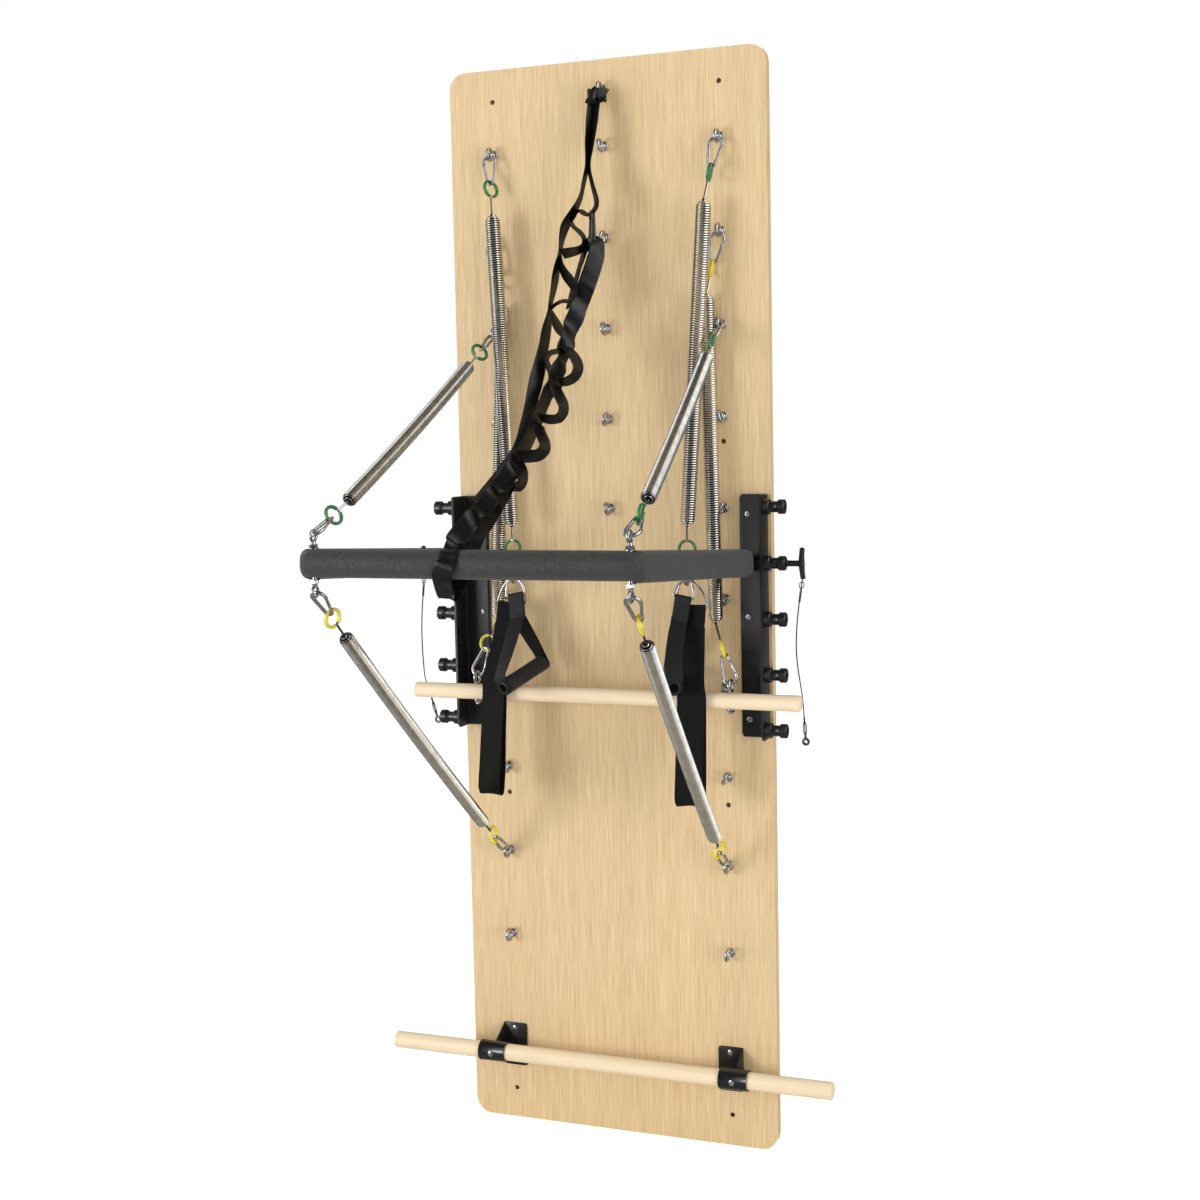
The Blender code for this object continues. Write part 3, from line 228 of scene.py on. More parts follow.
def skin(grid, ring=False, finish=0):
    """A closed surface over a grid of points. Rows follow the length and columns go round: each quad joins
    four neighbours, and the last row meets the first in a ring, or else a flat face closes each end."""
    n, k = grid.shape[:2]
    rows = np.arange(n if ring else n - 1)[:, None]
    cols = np.arange(k)[None, :]
    right, after = (cols + 1) % k, (rows + 1) % n
    around_quad = [rows * k + cols, rows * k + right, after * k + right, after * k + cols]
    quads = np.stack(around_quad, axis=-1).reshape(-1, 4)
    step = np.linalg.norm(np.roll(grid, -1, axis=0) - grid, axis=2).mean(axis=1)
    along = np.concatenate([[0], np.cumsum(step)])
    sideways = np.linalg.norm(np.roll(grid, -1, axis=1) - grid, axis=2).mean(axis=0)
    around = np.concatenate([[0], np.cumsum(sideways)])
    corners = ((rows, cols), (rows, cols + 1), (rows + 1, cols + 1), (rows + 1, cols))
    uv = np.stack([np.stack(np.broadcast_arrays(along[r], around[c]), axis=-1) for r, c in corners], axis=2)
    co = grid.reshape(-1, 3)
    middle = co.mean(axis=0)
    a, b, c, d = (co[quads[:, j]] - middle for j in range(4))
    volume = np.einsum("ij,ij->", a, np.cross(b, c)) + np.einsum("ij,ij->", a, np.cross(c, d))
    loops, sizes, marks = [quads], [np.full(len(quads), 4)], [uv.reshape(-1, 4, 2)]
    if not ring:
        for edge, row in ((np.arange(k)[::-1], 0), ((n - 1) * k + np.arange(k), n - 1)):
            fan = co[edge] - middle
            volume += np.einsum("ij,ij->", np.broadcast_to(fan[0], (k - 2, 3)), np.cross(fan[1:-1], fan[2:]))
            loops.append(edge[None])
            sizes.append(np.array([k]))
            marks.append(np.stack([np.full(k, along[row]), around[:k]], axis=1)[None])
    if volume < 0:
        loops = [part[:, ::-1] for part in loops]
        marks = [part[:, ::-1] for part in marks]
    return {
        "co": co,
        "loops": np.concatenate([part.reshape(-1) for part in loops]),
        "sizes": np.concatenate(sizes),
        "uv": np.concatenate([part.reshape(-1, 2) for part in marks]),
        "finish": finish,
    }


def circle(count, start=0.0):
    """Cosines and sines of evenly spaced angles once round."""
    angle = start + np.linspace(0, 2 * math.pi, count, endpoint=False)
    return np.cos(angle), np.sin(angle)


def tube(path, radius, sides=12, ring=False, up=(0, 0, 1), flat=1.0, finish=0):
    """A circle carried along a path: point + radius (cos a side + sin a lift), with side square to up."""
    path = np.asarray(path, float)
    along = headings(path, ring)
    lift = square_to(up, along)
    side = np.cross(along, lift)
    radius = np.broadcast_to(radius, len(path))[:, None, None]
    c, s = circle(sides)
    level, upright = side[:, None] * c[None, :, None], lift[:, None] * (flat * s)[None, :, None]
    return skin(path[:, None] + radius * (level + upright), ring, finish)


def band(path, across, width, thickness, ring=False, crown=0.0, finish=0):
    """Webbing: a flat strip with round selvages carried along a path. The section is a flat middle of
    points across, plus a half circle of the thickness at each edge; crown bows the middle out."""
    path = np.asarray(path, float)
    along = headings(path, ring)
    side = square_to(across, along)
    face = np.cross(side, along)
    width = np.broadcast_to(width, len(path))[:, None, None]
    thick = np.broadcast_to(thickness, len(path))[:, None, None]
    turn = np.linspace(-math.pi / 2, math.pi / 2, 5)
    flats, ones, zeros = np.linspace(0.8, -0.8, 5), np.ones(5), np.zeros(5)
    across_share = np.concatenate([ones, flats, -ones, -flats])
    edge = np.concatenate([np.cos(turn), zeros, -np.cos(turn), zeros])
    height = np.concatenate([np.sin(turn), ones, -np.sin(turn), -ones])
    bow = crown * (1 - across_share**2)
    flat = (width - thick) / 2 * across_share[None, :, None] + thick / 2 * edge[None, :, None]
    lift = thick / 2 * height[None, :, None] + bow[None, :, None]
    return skin(path[:, None] + side[:, None] * flat + face[:, None] * lift, ring, finish)


def across_axis(axis):
    """Two unit directions square to an axis and to each other."""
    first = square_to((0.0, 0.3, 1.0) if abs(axis[2]) < 0.9 else (1.0, 0.2, 0.0), axis)
    return first, np.cross(axis, first)


def turned(origin, axis, stations, sides=32, ring=False, finish=0, start=0.0):
    """A profile turned about an axis: origin + distance x axis + radius (cos a, sin a) square to it."""
    axis = unit(axis)
    stations = np.asarray(stations, float)
    first, second = across_axis(axis)
    c, s = circle(sides, start)
    out = first[None] * c[:, None] + second[None] * s[:, None]
    along = np.asarray(origin, float) + axis * stations[:, 0, None, None]
    return skin(along + stations[:, 1, None, None] * out[None], ring, finish)


# The width of the rounded rims of flat pieces
RIM = 0.0006


def slab(outline, normal, low, high):
    """A flat outline given thickness along its normal, with rounded rims: four copies of the outline at
    rising heights, the outer two drawn in towards the middle by the rim's width."""
    outline = np.asarray(outline, float)
    normal = unit(normal)
    ahead = unit(np.roll(outline, -1, axis=0) - outline)
    behind = np.roll(ahead, 1, axis=0)
    inward = unit(np.cross(normal, unit(ahead + behind)))
    inward = inward / np.clip((np.cross(normal, ahead) * inward).sum(axis=1, keepdims=True), 0.5, 1)
    centre = outline.mean(axis=0)
    if ((centre - outline) * inward).sum() < 0:
        inward = -inward
    part = RIM * 0.3
    levels = [(low, RIM), (low + part, part), (low + RIM, 0)]
    levels += [(high - RIM, 0), (high - part, part), (high, RIM)]
    return skin(np.stack([outline + inward * pull + normal * height for height, pull in levels]))


def round_corners(corners, radius, steps=5):
    """A polygon's corners replaced by arcs: each is a blend of the two tangent points and the corner."""
    p = np.asarray(corners, float)
    before, after = unit(np.roll(p, 1, axis=0) - p), unit(np.roll(p, -1, axis=0) - p)
    t = np.linspace(0, 1, steps + 1)[None, :, None]
    a, b = p + before * radius, p + after * radius
    arcs = (1 - t) ** 2 * a[:, None] + 2 * t * (1 - t) * p[:, None] + t**2 * b[:, None]
    return arcs.reshape(-1, p.shape[1])


def repeated(shell, origins, firsts, seconds, thirds):
    """Copies of one small shell, each set at an origin in its own three directions."""
    n, k = len(origins), len(shell["co"])
    frames = np.stack([firsts, seconds, thirds], axis=1)
    co = (origins[:, None] + np.einsum("kj,njd->nkd", shell["co"], frames)).reshape(-1, 3)
    return {
        "co": co,
        "loops": (shell["loops"][None] + (np.arange(n) * k)[:, None]).reshape(-1),
        "sizes": np.tile(shell["sizes"], n),
        "uv": np.tile(shell["uv"], (n, 1)),
        "finish": shell["finish"],
    }


def stitches(path, face, length=0.0030, pitch=0.0046, finish=1):
    """A row of thread stitches: a small six-sided capsule repeated along a path, half sunk in the face."""
    path = np.asarray(path, float)
    walked = walked_along(path)
    count = max(2, int(walked[-1] / pitch))
    origins = sampled((np.arange(count) + 0.5) * walked[-1] / count, walked, path)
    along = unit(np.gradient(origins, axis=0))
    up = square_to(face, along)
    side = np.cross(along, up)
    x = np.array([-1, -0.8, -0.3, 0.3, 0.8, 1]) * length / 2
    r = np.array([0.25, 0.75, 1, 1, 0.75, 0.25]) * 0.00045
    c, s = circle(6)
    grid = np.stack([np.broadcast_to(x[:, None], (6, 6)), r[:, None] * c[None], r[:, None] * s[None]], axis=2)
    return repeated(skin(grid, finish=finish), origins, along, side, up)


def piece(name, shells, finishes, body, replaces=(), crease=40):
    """One object at the origin from its shells: their arrays are joined end to end and put into a mesh."""
    mesh = bpy.data.meshes.new(name)
    offsets = np.cumsum([0] + [len(s["co"]) for s in shells[:-1]])
    co = np.concatenate([s["co"] for s in shells])
    loops = np.concatenate([s["loops"] + o for s, o in zip(shells, offsets)])
    sizes = np.concatenate([s["sizes"] for s in shells])
    starts = np.concatenate([[0], np.cumsum(sizes)[:-1]])
    mesh.vertices.add(len(co))
    mesh.vertices.foreach_set("co", co.astype(np.float32).ravel())
    mesh.loops.add(len(loops))
    mesh.loops.foreach_set("vertex_index", loops.astype(np.int32))
    mesh.polygons.add(len(sizes))
    mesh.polygons.foreach_set("loop_start", starts.astype(np.int32))
    marks = np.concatenate([np.full(len(s["sizes"]), s["finish"]) for s in shells])
    mesh.polygons.foreach_set("material_index", marks.astype(np.int32))
    mesh.update(calc_edges=True)
    layer = mesh.uv_layers.new(name="UVMap")
    layer.uv.foreach_set("vector", np.concatenate([s["uv"] for s in shells]).astype(np.float32).ravel())
    for finish in finishes:
        mesh.materials.append(finish)
    mesh.polygons.foreach_set("use_smooth", np.ones(len(sizes), bool))
    mesh.set_sharp_from_angle(angle=math.radians(crease))
    if mesh.validate():
        raise RuntimeError(f"{name}: the mesh had faults")
    obj = bpy.data.objects.new(name, mesh)
    bpy.context.scene.collection.objects.link(obj)
    if isinstance(body, str):
        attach(obj, body)
    else:
        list(body)
        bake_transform(obj)
    if replaces:
        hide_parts(*replaces)
    return obj


# Node groups and materials


def node(tree, kind, links=None, **settings):
    """A shader node with its settings, its inputs given as numbers, colours or other nodes' outputs."""
    made = tree.nodes.new(kind)
    for key, value in settings.items():
        setattr(made, key, value)
    for key, value in (links or {}).items():
        if isinstance(value, bpy.types.NodeSocket):
            tree.links.new(value, made.inputs[key])
        else:
            made.inputs[key].default_value = value
    return made


def math_node(tree, operation, first, second=0.0):
    return node(tree, "ShaderNodeMath", {0: first, 1: second}, operation=operation).outputs[0]


def ranged(tree, value, low=0.0, high=1.0, to_low=0.0, to_high=1.0, **settings):
    """A value carried from one range to another, held at its ends."""
    links = {"Value": value, "From Min": low, "From Max": high, "To Min": to_low, "To Max": to_high}
    return node(tree, "ShaderNodeMapRange", links, **settings).outputs["Result"]


def noise_node(tree, vector, scale, detail, rough, warp=0.0):
    links = {"Vector": vector, "Scale": scale, "Detail": detail, "Roughness": rough, "Distortion": warp}
    return node(tree, "ShaderNodeTexNoise", links).outputs["Fac"]


def group(name, inputs, outputs, fill):
    """A shader node group made once: inputs and outputs are (name, socket kind, default)."""
    made = bpy.data.node_groups.get(name)
    if made:
        return made
    made = bpy.data.node_groups.new(name, "ShaderNodeTree")
    for label, kind, default in inputs:
        socket = made.interface.new_socket(label, in_out="INPUT", socket_type=kind)
        if default is not None:
            socket.default_value = default
    for label, kind in outputs:
        made.interface.new_socket(label, in_out="OUTPUT", socket_type=kind)
    entry, leave = made.nodes.new("NodeGroupInput"), made.nodes.new("NodeGroupOutput")
    for label, socket in fill(made, entry.outputs).items():
        made.links.new(socket, leave.inputs[label])
    return made


def use(tree, made, links):
    """A node that places a group, with its own values."""
    return node(tree, "ShaderNodeGroup", links, node_tree=made).outputs


FLOAT, VECTOR = "NodeSocketFloat", "NodeSocketVector"


def speckle_group():
    """Noise squeezed between two values: low + (high - low) x noise, for uneven gloss and colour."""

    def fill(tree, given):
        noise = noise_node(tree, given["Vector"], given["Scale"], 4.0, 0.6)
        return {"Value": ranged(tree, noise, 0.3, 0.7, given["Low"], given["High"])}

    inputs = (("Vector", VECTOR, None), ("Scale", FLOAT, 60.0), ("Low", FLOAT, 0.0), ("High", FLOAT, 1.0))
    return group("Speckle", inputs, (("Value", FLOAT),), fill)


def grain_group():
    """Wood along one axis: noise stretched along the grain, at three widths. Growth is the broad tone,
    Fibre the fine streaks, Pores the short dark dashes."""

    def fill(tree, given):
        along = given["Vector"]
        broad = math_node(tree, "MULTIPLY", given["Scale"], 0.12)
        fine = math_node(tree, "MULTIPLY", given["Scale"], 1.8)
        growth = ranged(tree, noise_node(tree, along, broad, 3.0, 0.55, 0.6), 0.32, 0.68)
        fibre = ranged(tree, noise_node(tree, along, given["Scale"], 6.0, 0.7), 0.34, 0.66)
        pores = ranged(tree, noise_node(tree, along, fine, 2.0, 0.5), 0.62, 0.70)
        return {"Growth": growth, "Fibre": fibre, "Pores": pores}

    inputs = (("Vector", VECTOR, None), ("Scale", FLOAT, 60.0))
    return group("Wood grain", inputs, (("Growth", FLOAT), ("Fibre", FLOAT), ("Pores", FLOAT)), fill)


def weave_group():
    """Webbing on its own map, in metres: crossing sines of the two thread pitches, plus rows of ribs
    that thicken and thin, so that Height shows single threads and Tone the rows."""

    def fill(tree, given):
        parts = node(tree, "ShaderNodeSeparateXYZ", {0: given["UV"]})
        u = math_node(tree, "MULTIPLY", parts.outputs[0], given["Rows per metre"])
        v = math_node(tree, "MULTIPLY", parts.outputs[1], given["Threads per metre"])
        shifted = math_node(tree, "ADD", u, math_node(tree, "MULTIPLY", math_node(tree, "FLOOR", v), 0.5))
        rows = math_node(tree, "SINE", math_node(tree, "MULTIPLY", shifted, 2 * math.pi))
        crossing = math_node(tree, "SINE", math_node(tree, "MULTIPLY", v, math.pi))
        threads = math_node(tree, "ABSOLUTE", crossing)
        lifted = math_node(tree, "MULTIPLY", math_node(tree, "ADD", rows, 1.0), 0.5)
        height = math_node(tree, "MULTIPLY", lifted, threads)
        drawn_out = math_node(tree, "MULTIPLY", parts.outputs[1], 0.12)
        stretched = node(tree, "ShaderNodeCombineXYZ", {0: parts.outputs[0], 1: drawn_out, 2: 0.0}).outputs[0]
        tone = ranged(tree, noise_node(tree, stretched, 420.0, 2.0, 0.5), 0.35, 0.65)
        return {"Height": height, "Tone": tone}

    inputs = (("UV", VECTOR, None), ("Rows per metre", FLOAT, 450.0), ("Threads per metre", FLOAT, 700.0))
    return group("Webbing weave", inputs, (("Height", FLOAT), ("Tone", FLOAT)), fill)


class Finish:
    """A material being built: its tree, its Principled shader and the coordinates that it reads."""

    def __init__(self, name, colour, roughness=0.5, metallic=0.0, **fixed):
        self.made = bpy.data.materials.new(name)
        self.made.use_nodes = True
        self.made.diffuse_color = (*colour, 1.0)
        self.tree = self.made.node_tree
        self.shader = self.tree.nodes["Principled BSDF"]
        self.shader.inputs["Base Color"].default_value = (*colour, 1.0)
        self.shader.inputs["Roughness"].default_value = roughness
        self.shader.inputs["Metallic"].default_value = metallic
        for key, value in fixed.items():
            self.shader.inputs[key.replace("_", " ")].default_value = value
        self.place = node(self.tree, "ShaderNodeTexCoord")

    def stretched(self, scale):
        links = {"Vector": self.place.outputs["Object"], "Scale": scale}
        return node(self.tree, "ShaderNodeMapping", links).outputs[0]

    def noise(self, scale, detail=3.0):
        return noise_node(self.tree, self.place.outputs["Object"], scale, detail, 0.5)

    def ranged(self, *values):
        return ranged(self.tree, *values)

    def math(self, operation, first, second=0.0):
        return math_node(self.tree, operation, first, second)

    def mixed(self, share, first, second, blend="MIX"):
        """A colour between two, by a share from 0 to 1."""
        first, second = (v if isinstance(v, bpy.types.NodeSocket) else (*v, 1.0) for v in (first, second))
        links = {0: share, 6: first, 7: second}
        return node(self.tree, "ShaderNodeMix", links, data_type="RGBA", blend_type=blend).outputs[2]

    def speckle(self, scale, low, high):
        links = {"Vector": self.place.outputs["Object"], "Scale": scale, "Low": low, "High": high}
        return use(self.tree, speckle_group(), links)["Value"]

    def on_map(self):
        """The place along and across the piece's own map, in metres."""
        return node(self.tree, "ShaderNodeSeparateXYZ", {0: self.place.outputs["UV"]}).outputs

    def feed(self, socket, value):
        self.tree.links.new(value, self.shader.inputs[socket])

    def bump(self, height, strength, distance, onto=None):
        links = {"Height": height, "Strength": strength, "Distance": distance}
        made = node(self.tree, "ShaderNodeBump", links)
        if onto:
            self.tree.links.new(onto, made.inputs["Normal"])
        self.tree.links.new(made.outputs["Normal"], self.shader.inputs["Normal"])
        return made.outputs["Normal"]


def shade(colour, by):
    return tuple(min(1.0, c * by) for c in colour)


def wood(name, colour, along, scale, contrast, pores, roughness):
    """Wood whose grain runs along one axis: broad growth tones, fine streaks and dark pores."""
    made = Finish(name, colour, roughness, Specular_IOR_Level=0.35)
    stretch = [1.0, 1.0, 1.0]
    stretch[along] = 0.026
    lines = made.stretched(stretch)
    grain = use(made.tree, grain_group(), {"Vector": lines, "Scale": scale})
    tone = made.mixed(grain["Growth"], shade(colour, 1 - contrast * 0.28), shade(colour, 1 + contrast * 0.2))
    faded = tuple(1 - contrast * share for share in (1.2, 1.6, 2.2))
    streak = made.mixed(grain["Fibre"], faded, (1.0, 1.0, 1.0))
    tone = made.mixed(1.0, tone, streak, "MULTIPLY")
    dark = made.math("MULTIPLY", grain["Pores"], pores)
    tone = made.mixed(dark, tone, shade(colour, 0.45))
    made.feed("Base Color", tone)
    made.feed("Roughness", made.speckle(14.0, roughness - 0.06, roughness + 0.08))
    made.bump(made.math("SUBTRACT", grain["Fibre"], dark), 0.12, 0.0003)
    return made.made


def metal(name, colour, roughness, scratch=0.08, stain=0.25):
    """Plated or drawn steel: uneven gloss, faint stains in the colour and a fine ripple."""
    made = Finish(name, colour, roughness, 1.0)
    made.feed("Roughness", made.speckle(240.0, max(0.05, roughness - scratch), roughness + scratch))
    clouds = made.speckle(85.0, 0.0, 1.0)
    made.feed("Base Color", made.mixed(clouds, shade(colour, 1 - stain), shade(colour, 1.1)))
    made.bump(made.noise(900.0, 2.0), 0.06, 0.0002)
    return made.made


def wire_with_painted_shade(name, colour, roughness, around, dark, inside=0.05, outside=0.75):
    """Spring wire: drawn steel with painted shade on the half that faces the inside of the coil, where it is
    dark and dull, read from the way round the wire on its own map."""
    made = Finish(name, colour, roughness, 1.0)
    # Painted shade: the half of the wire that faces the inside of the coil is darkened to dark times the
    # colour
    wave = made.math("SINE", made.math("MULTIPLY", made.on_map()[1], 2 * math.pi / around))
    inner = made.ranged(wave, outside, inside)
    clouds = made.speckle(60.0, 0.0, 1.0)
    bright = made.mixed(clouds, shade(colour, 0.80), shade(colour, 1.12))
    made.feed("Base Color", made.mixed(inner, bright, shade(colour, dark)))
    made.feed("Roughness", made.ranged(inner, 0.0, 1.0, roughness, 0.6))
    return made.made


def coated(name, colour, roughness, grit=700.0, lift=0.10, shine=0.5):
    """Powder coat, moulded plastic or plastic sleeve: a fine orange peel, rubbed paler in patches."""
    made = Finish(name, colour, roughness, Specular_IOR_Level=shine)
    rub = made.speckle(38.0, 0.0, 1.0)
    made.feed("Base Color", made.mixed(rub, shade(colour, 0.8), shade(colour, 1.25)))
    made.feed("Roughness", made.speckle(120.0, roughness - 0.06, roughness + 0.08))
    made.bump(made.noise(grit, 3.0), lift, 0.0003)
    return made.made


def foam(name, colour, roughness, cell=1400.0):
    """Closed-cell foam: a fine pitted skin over slow dents, with a dull sheen."""
    made = Finish(name, colour, roughness, Sheen_Weight=0.10, Sheen_Roughness=0.5, Specular_IOR_Level=0.3)
    scuff = made.speckle(26.0, 0.0, 1.0)
    pitted = made.mixed(made.speckle(330.0, 0.0, 1.0), shade(colour, 0.30), shade(colour, 1.75))
    made.feed("Base Color", made.mixed(scuff, pitted, shade(colour, 1.08)))
    made.feed("Roughness", made.speckle(90.0, roughness - 0.08, roughness + 0.06))
    dents = made.bump(made.noise(22.0, 2.0), 0.25, 0.0012)
    pits = node(made.tree, "ShaderNodeTexVoronoi", {"Vector": made.place.outputs["Object"], "Scale": cell})
    made.bump(pits.outputs["Distance"], 0.35, 0.0003, dents)
    return made.made


def webbing(name, colour, rows, threads, lift, roughness, sheen, shine):
    """Woven webbing: threads and ribs from the strip's own map, fuzz in the sheen. Seen along its face it
    shines less, because the threads shade each other."""
    made = Finish(name, colour, roughness, Sheen_Weight=sheen, Sheen_Roughness=0.45)
    facing = node(made.tree, "ShaderNodeLayerWeight").outputs["Facing"]
    made.feed("Specular IOR Level", made.ranged(facing, 0.30, 0.75, shine, 0.02))
    counts = {"UV": made.place.outputs["UV"], "Rows per metre": rows, "Threads per metre": threads}
    weave = use(made.tree, weave_group(), counts)
    tone = made.mixed(weave["Tone"], shade(colour, 0.7), shade(colour, 1.45))
    made.feed("Base Color", made.mixed(made.speckle(45.0, 0.0, 0.45), tone, shade(colour, 1.6)))
    ribs = made.bump(weave["Tone"], 0.35, 0.0006)
    made.bump(weave["Height"], lift, 0.0005, ribs)
    made.feed("Roughness", made.speckle(160.0, roughness - 0.08, roughness + 0.08))
    return made.made


def cable(name, colour, roughness):
    """Thin laid cable: slanted strands round its own map, with painted shade in the grooves between them."""
    made = Finish(name, colour, roughness, 0.7)
    along, around = (made.math("MULTIPLY", made.on_map()[k], count) for k, count in ((0, 380.0), (1, 680.0)))
    strands = made.math("SINE", made.math("MULTIPLY", made.math("ADD", along, around), 2 * math.pi))
    # Painted shade: the grooves between the strands are darkened to a quarter of the colour
    made.feed("Base Color", made.mixed(made.ranged(strands, -1.0, 1.0), shade(colour, 0.25), colour))
    made.bump(strands, 0.6, 0.0004)
    made.feed("Roughness", made.speckle(200.0, roughness - 0.05, roughness + 0.1))
    return made.made


FINISHES = {}


def finishes():
    """Every material, made once from the colours in the sidebar."""
    if FINISHES:
        return FINISHES
    c = bpy.context.scene.springboard_colours
    FINISHES.update(
        board=wood("board oak", tuple(c.board), 2, 400.0, 0.20, 0.36, 0.46),
        dowel=wood("dowel beech", tuple(c.dowel), 0, 200.0, 0.08, 0.14, 0.50),
        plated=metal("plated steel", tuple(c.plated), 0.20, 0.07, 0.35),
        # The coil and rod steels carry painted shade on their wires' inner halves, down to 0.015 and 0.16 of
        # the colour
        coil=wire_with_painted_shade("coil steel", tuple(c.coil), 0.13, WIRE_ROUND * HUNG_COIL[1], 0.015, 0.20, 0.85),
        rod=wire_with_painted_shade("bar spring steel", tuple(c.rod), 0.17, WIRE_ROUND * BAR_COIL[1], 0.16),
        bracket=coated("bracket coat", tuple(c.bracket), 0.32, 900.0, 0.12, 0.34),
        bush=coated("bush black", tuple(c.bush), 0.26, 500.0, 0.04, 0.6),
        clamp=coated("clamp black", tuple(c.clamp), 0.20, 300.0, 0.03, 0.6),
        plastic=coated("handle plastic", tuple(c.bush), 0.42, 800.0, 0.10, 0.45),
        green=coated("green sleeve", tuple(c.green), 0.20, 400.0, 0.05, 0.8),
        yellow=coated("yellow sleeve", tuple(c.yellow), 0.20, 400.0, 0.05, 0.8),
        foam=foam("bar foam", tuple(c.foam), 0.62),
        grip=foam("grip foam", tuple(c.grip), 0.66, 1100.0),
        handle_web=webbing(
            "handle webbing", shade(tuple(c.webbing), 1.7), 520.0, 640.0, 0.40, 0.50, 0.04, 0.25,
        ),
        loop_web=webbing("loop webbing", shade(tuple(c.webbing), 0.8), 330.0, 430.0, 0.75, 0.72, 0.03, 0.18),
        strap_web=webbing("strap webbing", shade(tuple(c.webbing), 0.7), 700.0, 900.0, 0.15, 0.34, 0.0, 0.36),
        thread=coated("thread", shade(tuple(c.webbing), 1.6), 0.7, 2000.0, 0.2, 0.3),
        rope=cable("lanyard cable", tuple(c.cable), 0.45),
        screw=metal("screw zinc", tuple(c.plated), 0.24, 0.06, 0.3),
        # Painted shade: a near-black that stands for the shade in holes, on the wall screws' shanks, in the
        # empty spool bores and at the grips' ends
        recess=coated("recess dark", (0.0025, 0.0023, 0.0022), 0.8, 600.0, 0.1, 0.05),
        rim=coated("grip rim", (0.014, 0.014, 0.015), 0.26, 600.0, 0.06, 0.5),
        bronze=metal("wall screw", (0.18, 0.13, 0.09), 0.4, 0.1, 0.4),
        lug=metal("lug steel", (0.16, 0.16, 0.17), 0.32, 0.08, 0.4),
    )
    return FINISHES


# Shapes shared by several pieces

CROSSWISE = np.array([1.0, 0.0, 0.0])
FRONT_RIGHT = np.array([0.37, -0.93, 0.0])
OUTWARD = np.array([0.0, -1.0, 0.0])
UPWARD = np.array([0.0, 0.0, 1.0])


def hoop(centre, first, second, radius, count=36):
    """Points once round a circle: centre + radius (cos a first + sin a second)."""
    c, s = circle(count)
    return np.asarray(centre) + radius * (c[:, None] * first + s[:, None] * second)


def strip(path, across, low, high, thickness, edge=RIM):
    """A plate bent along a path: a rectangle with small round corners carried along it, reaching from low
    to high in the across direction; both may change on the way, to round or cut the plate's corners."""
    path = np.asarray(path, float)
    along = headings(path, False)
    side = np.broadcast_to(unit(across), path.shape)
    face = np.cross(side, along)
    low, high = (np.broadcast_to(v, len(path))[:, None] for v in (low, high))
    turn = np.linspace(0, math.pi / 2, 4)
    c, s = np.cos(turn)[None], np.sin(turn)[None]
    half = thickness / 2 - edge
    upper, lower = high - edge, low + edge
    w = np.concatenate([upper + edge * c, lower - edge * s, lower - edge * c, upper + edge * s], axis=1)
    h = np.concatenate([half + edge * s, half + edge * c, -half - edge * s, -half - edge * c], axis=1)
    return skin(path[:, None] + side[:, None] * w[:, :, None] + face[:, None] * h[:, :, None])


def screw(centre, axis, radius=0.0055, height=0.0025, turn=0.5, finish=0):
    """A pan head with a cross recess: a dome falling as the square of the radius, less two crossing
    grooves that fade out near the rim, over a straight skirt."""
    axis = unit(axis)
    first, second = across_axis(axis)
    r = np.array([0.03, 0.12, 0.22, 0.32, 0.42, 0.52, 0.62, 0.72, 0.82, 0.9, 0.96, 1.0, 1.0])
    c, s = circle(40)
    x, y = r[:, None] * c[None], r[:, None] * s[None]
    upright, level = (np.exp(-((a / 0.13) ** 4)) * (np.abs(b) < 0.60) for a, b in ((x, y), (y, x)))
    groove = np.maximum(upright, level)
    h = height * (1 - 0.42 * r[:, None] ** 3) - 0.62 * height * groove
    h[-1] = 0.0
    c2, s2 = math.cos(turn), math.sin(turn)
    flat = (x * c2 - y * s2)[..., None] * first + (x * s2 + y * c2)[..., None] * second
    return skin(np.asarray(centre, float) + radius * flat + h[..., None] * axis, finish=finish)


def carabiner(near, far, across, wire):
    """A pear-shaped snap hook: a wire carried round its wide end, along one side and round its narrow
    end, with a thinner straight gate on the other side, hinged on a rivet."""
    near, far = np.asarray(near), np.asarray(far)
    along = unit(far - near)
    side = square_to(across, along[None])[0]
    normal = np.cross(along, side)
    length = np.linalg.norm(far - near)
    lean = math.acos((WIDE_END - NARROW_END) / (length - WIDE_END - NARROW_END))
    wide = np.linspace(lean, 2 * math.pi - lean, 22)
    narrow = np.linspace(-lean, lean, 13)
    x = np.concatenate([
        WIDE_END + WIDE_END * np.cos(wide), length - NARROW_END + NARROW_END * np.cos(narrow),
    ])
    y = np.concatenate([WIDE_END * np.sin(wide), NARROW_END * np.sin(narrow)])
    last, first = np.array([x[-1], y[-1]]), np.array([x[0], y[0]])
    hinge, nose = last + (first - last) * 0.20, last + (first - last) * 0.93
    x, y = np.append(np.insert(x, 0, nose[0]), hinge[0]), np.append(np.insert(y, 0, nose[1]), hinge[1])
    loop = near + x[:, None] * along + y[:, None] * side
    radius = np.full(len(loop), wire)
    radius[0], radius[1] = wire * 0.85, wire * 1.04
    ends = [hinge + (nose - hinge) * t for t in (-0.06, 0.0, 0.5, 0.93, 0.985)]
    gate = np.array([near + p[0] * along + p[1] * side for p in ends])
    pin = near + hinge[0] * along + hinge[1] * side
    rivet = wire * np.array([(0, 0.35), (0.12, 0.5), (2.12, 0.5), (2.24, 0.35)])
    return [
        tube(loop, radius, 12, up=normal),
        tube(gate, wire * np.array([0.6, 0.82, 0.84, 0.82, 0.7]), 12, up=normal),
        turned(pin - normal * wire * 1.12, normal, rivet, 10),
    ]


def wire_contact(centre, radius, toward):
    """Where a ring that stands in the vertical plane square to the board is pulled, on its own wire."""
    pull = np.asarray(toward) - centre
    pull[0] = 0.0
    return centre + unit(pull) * radius


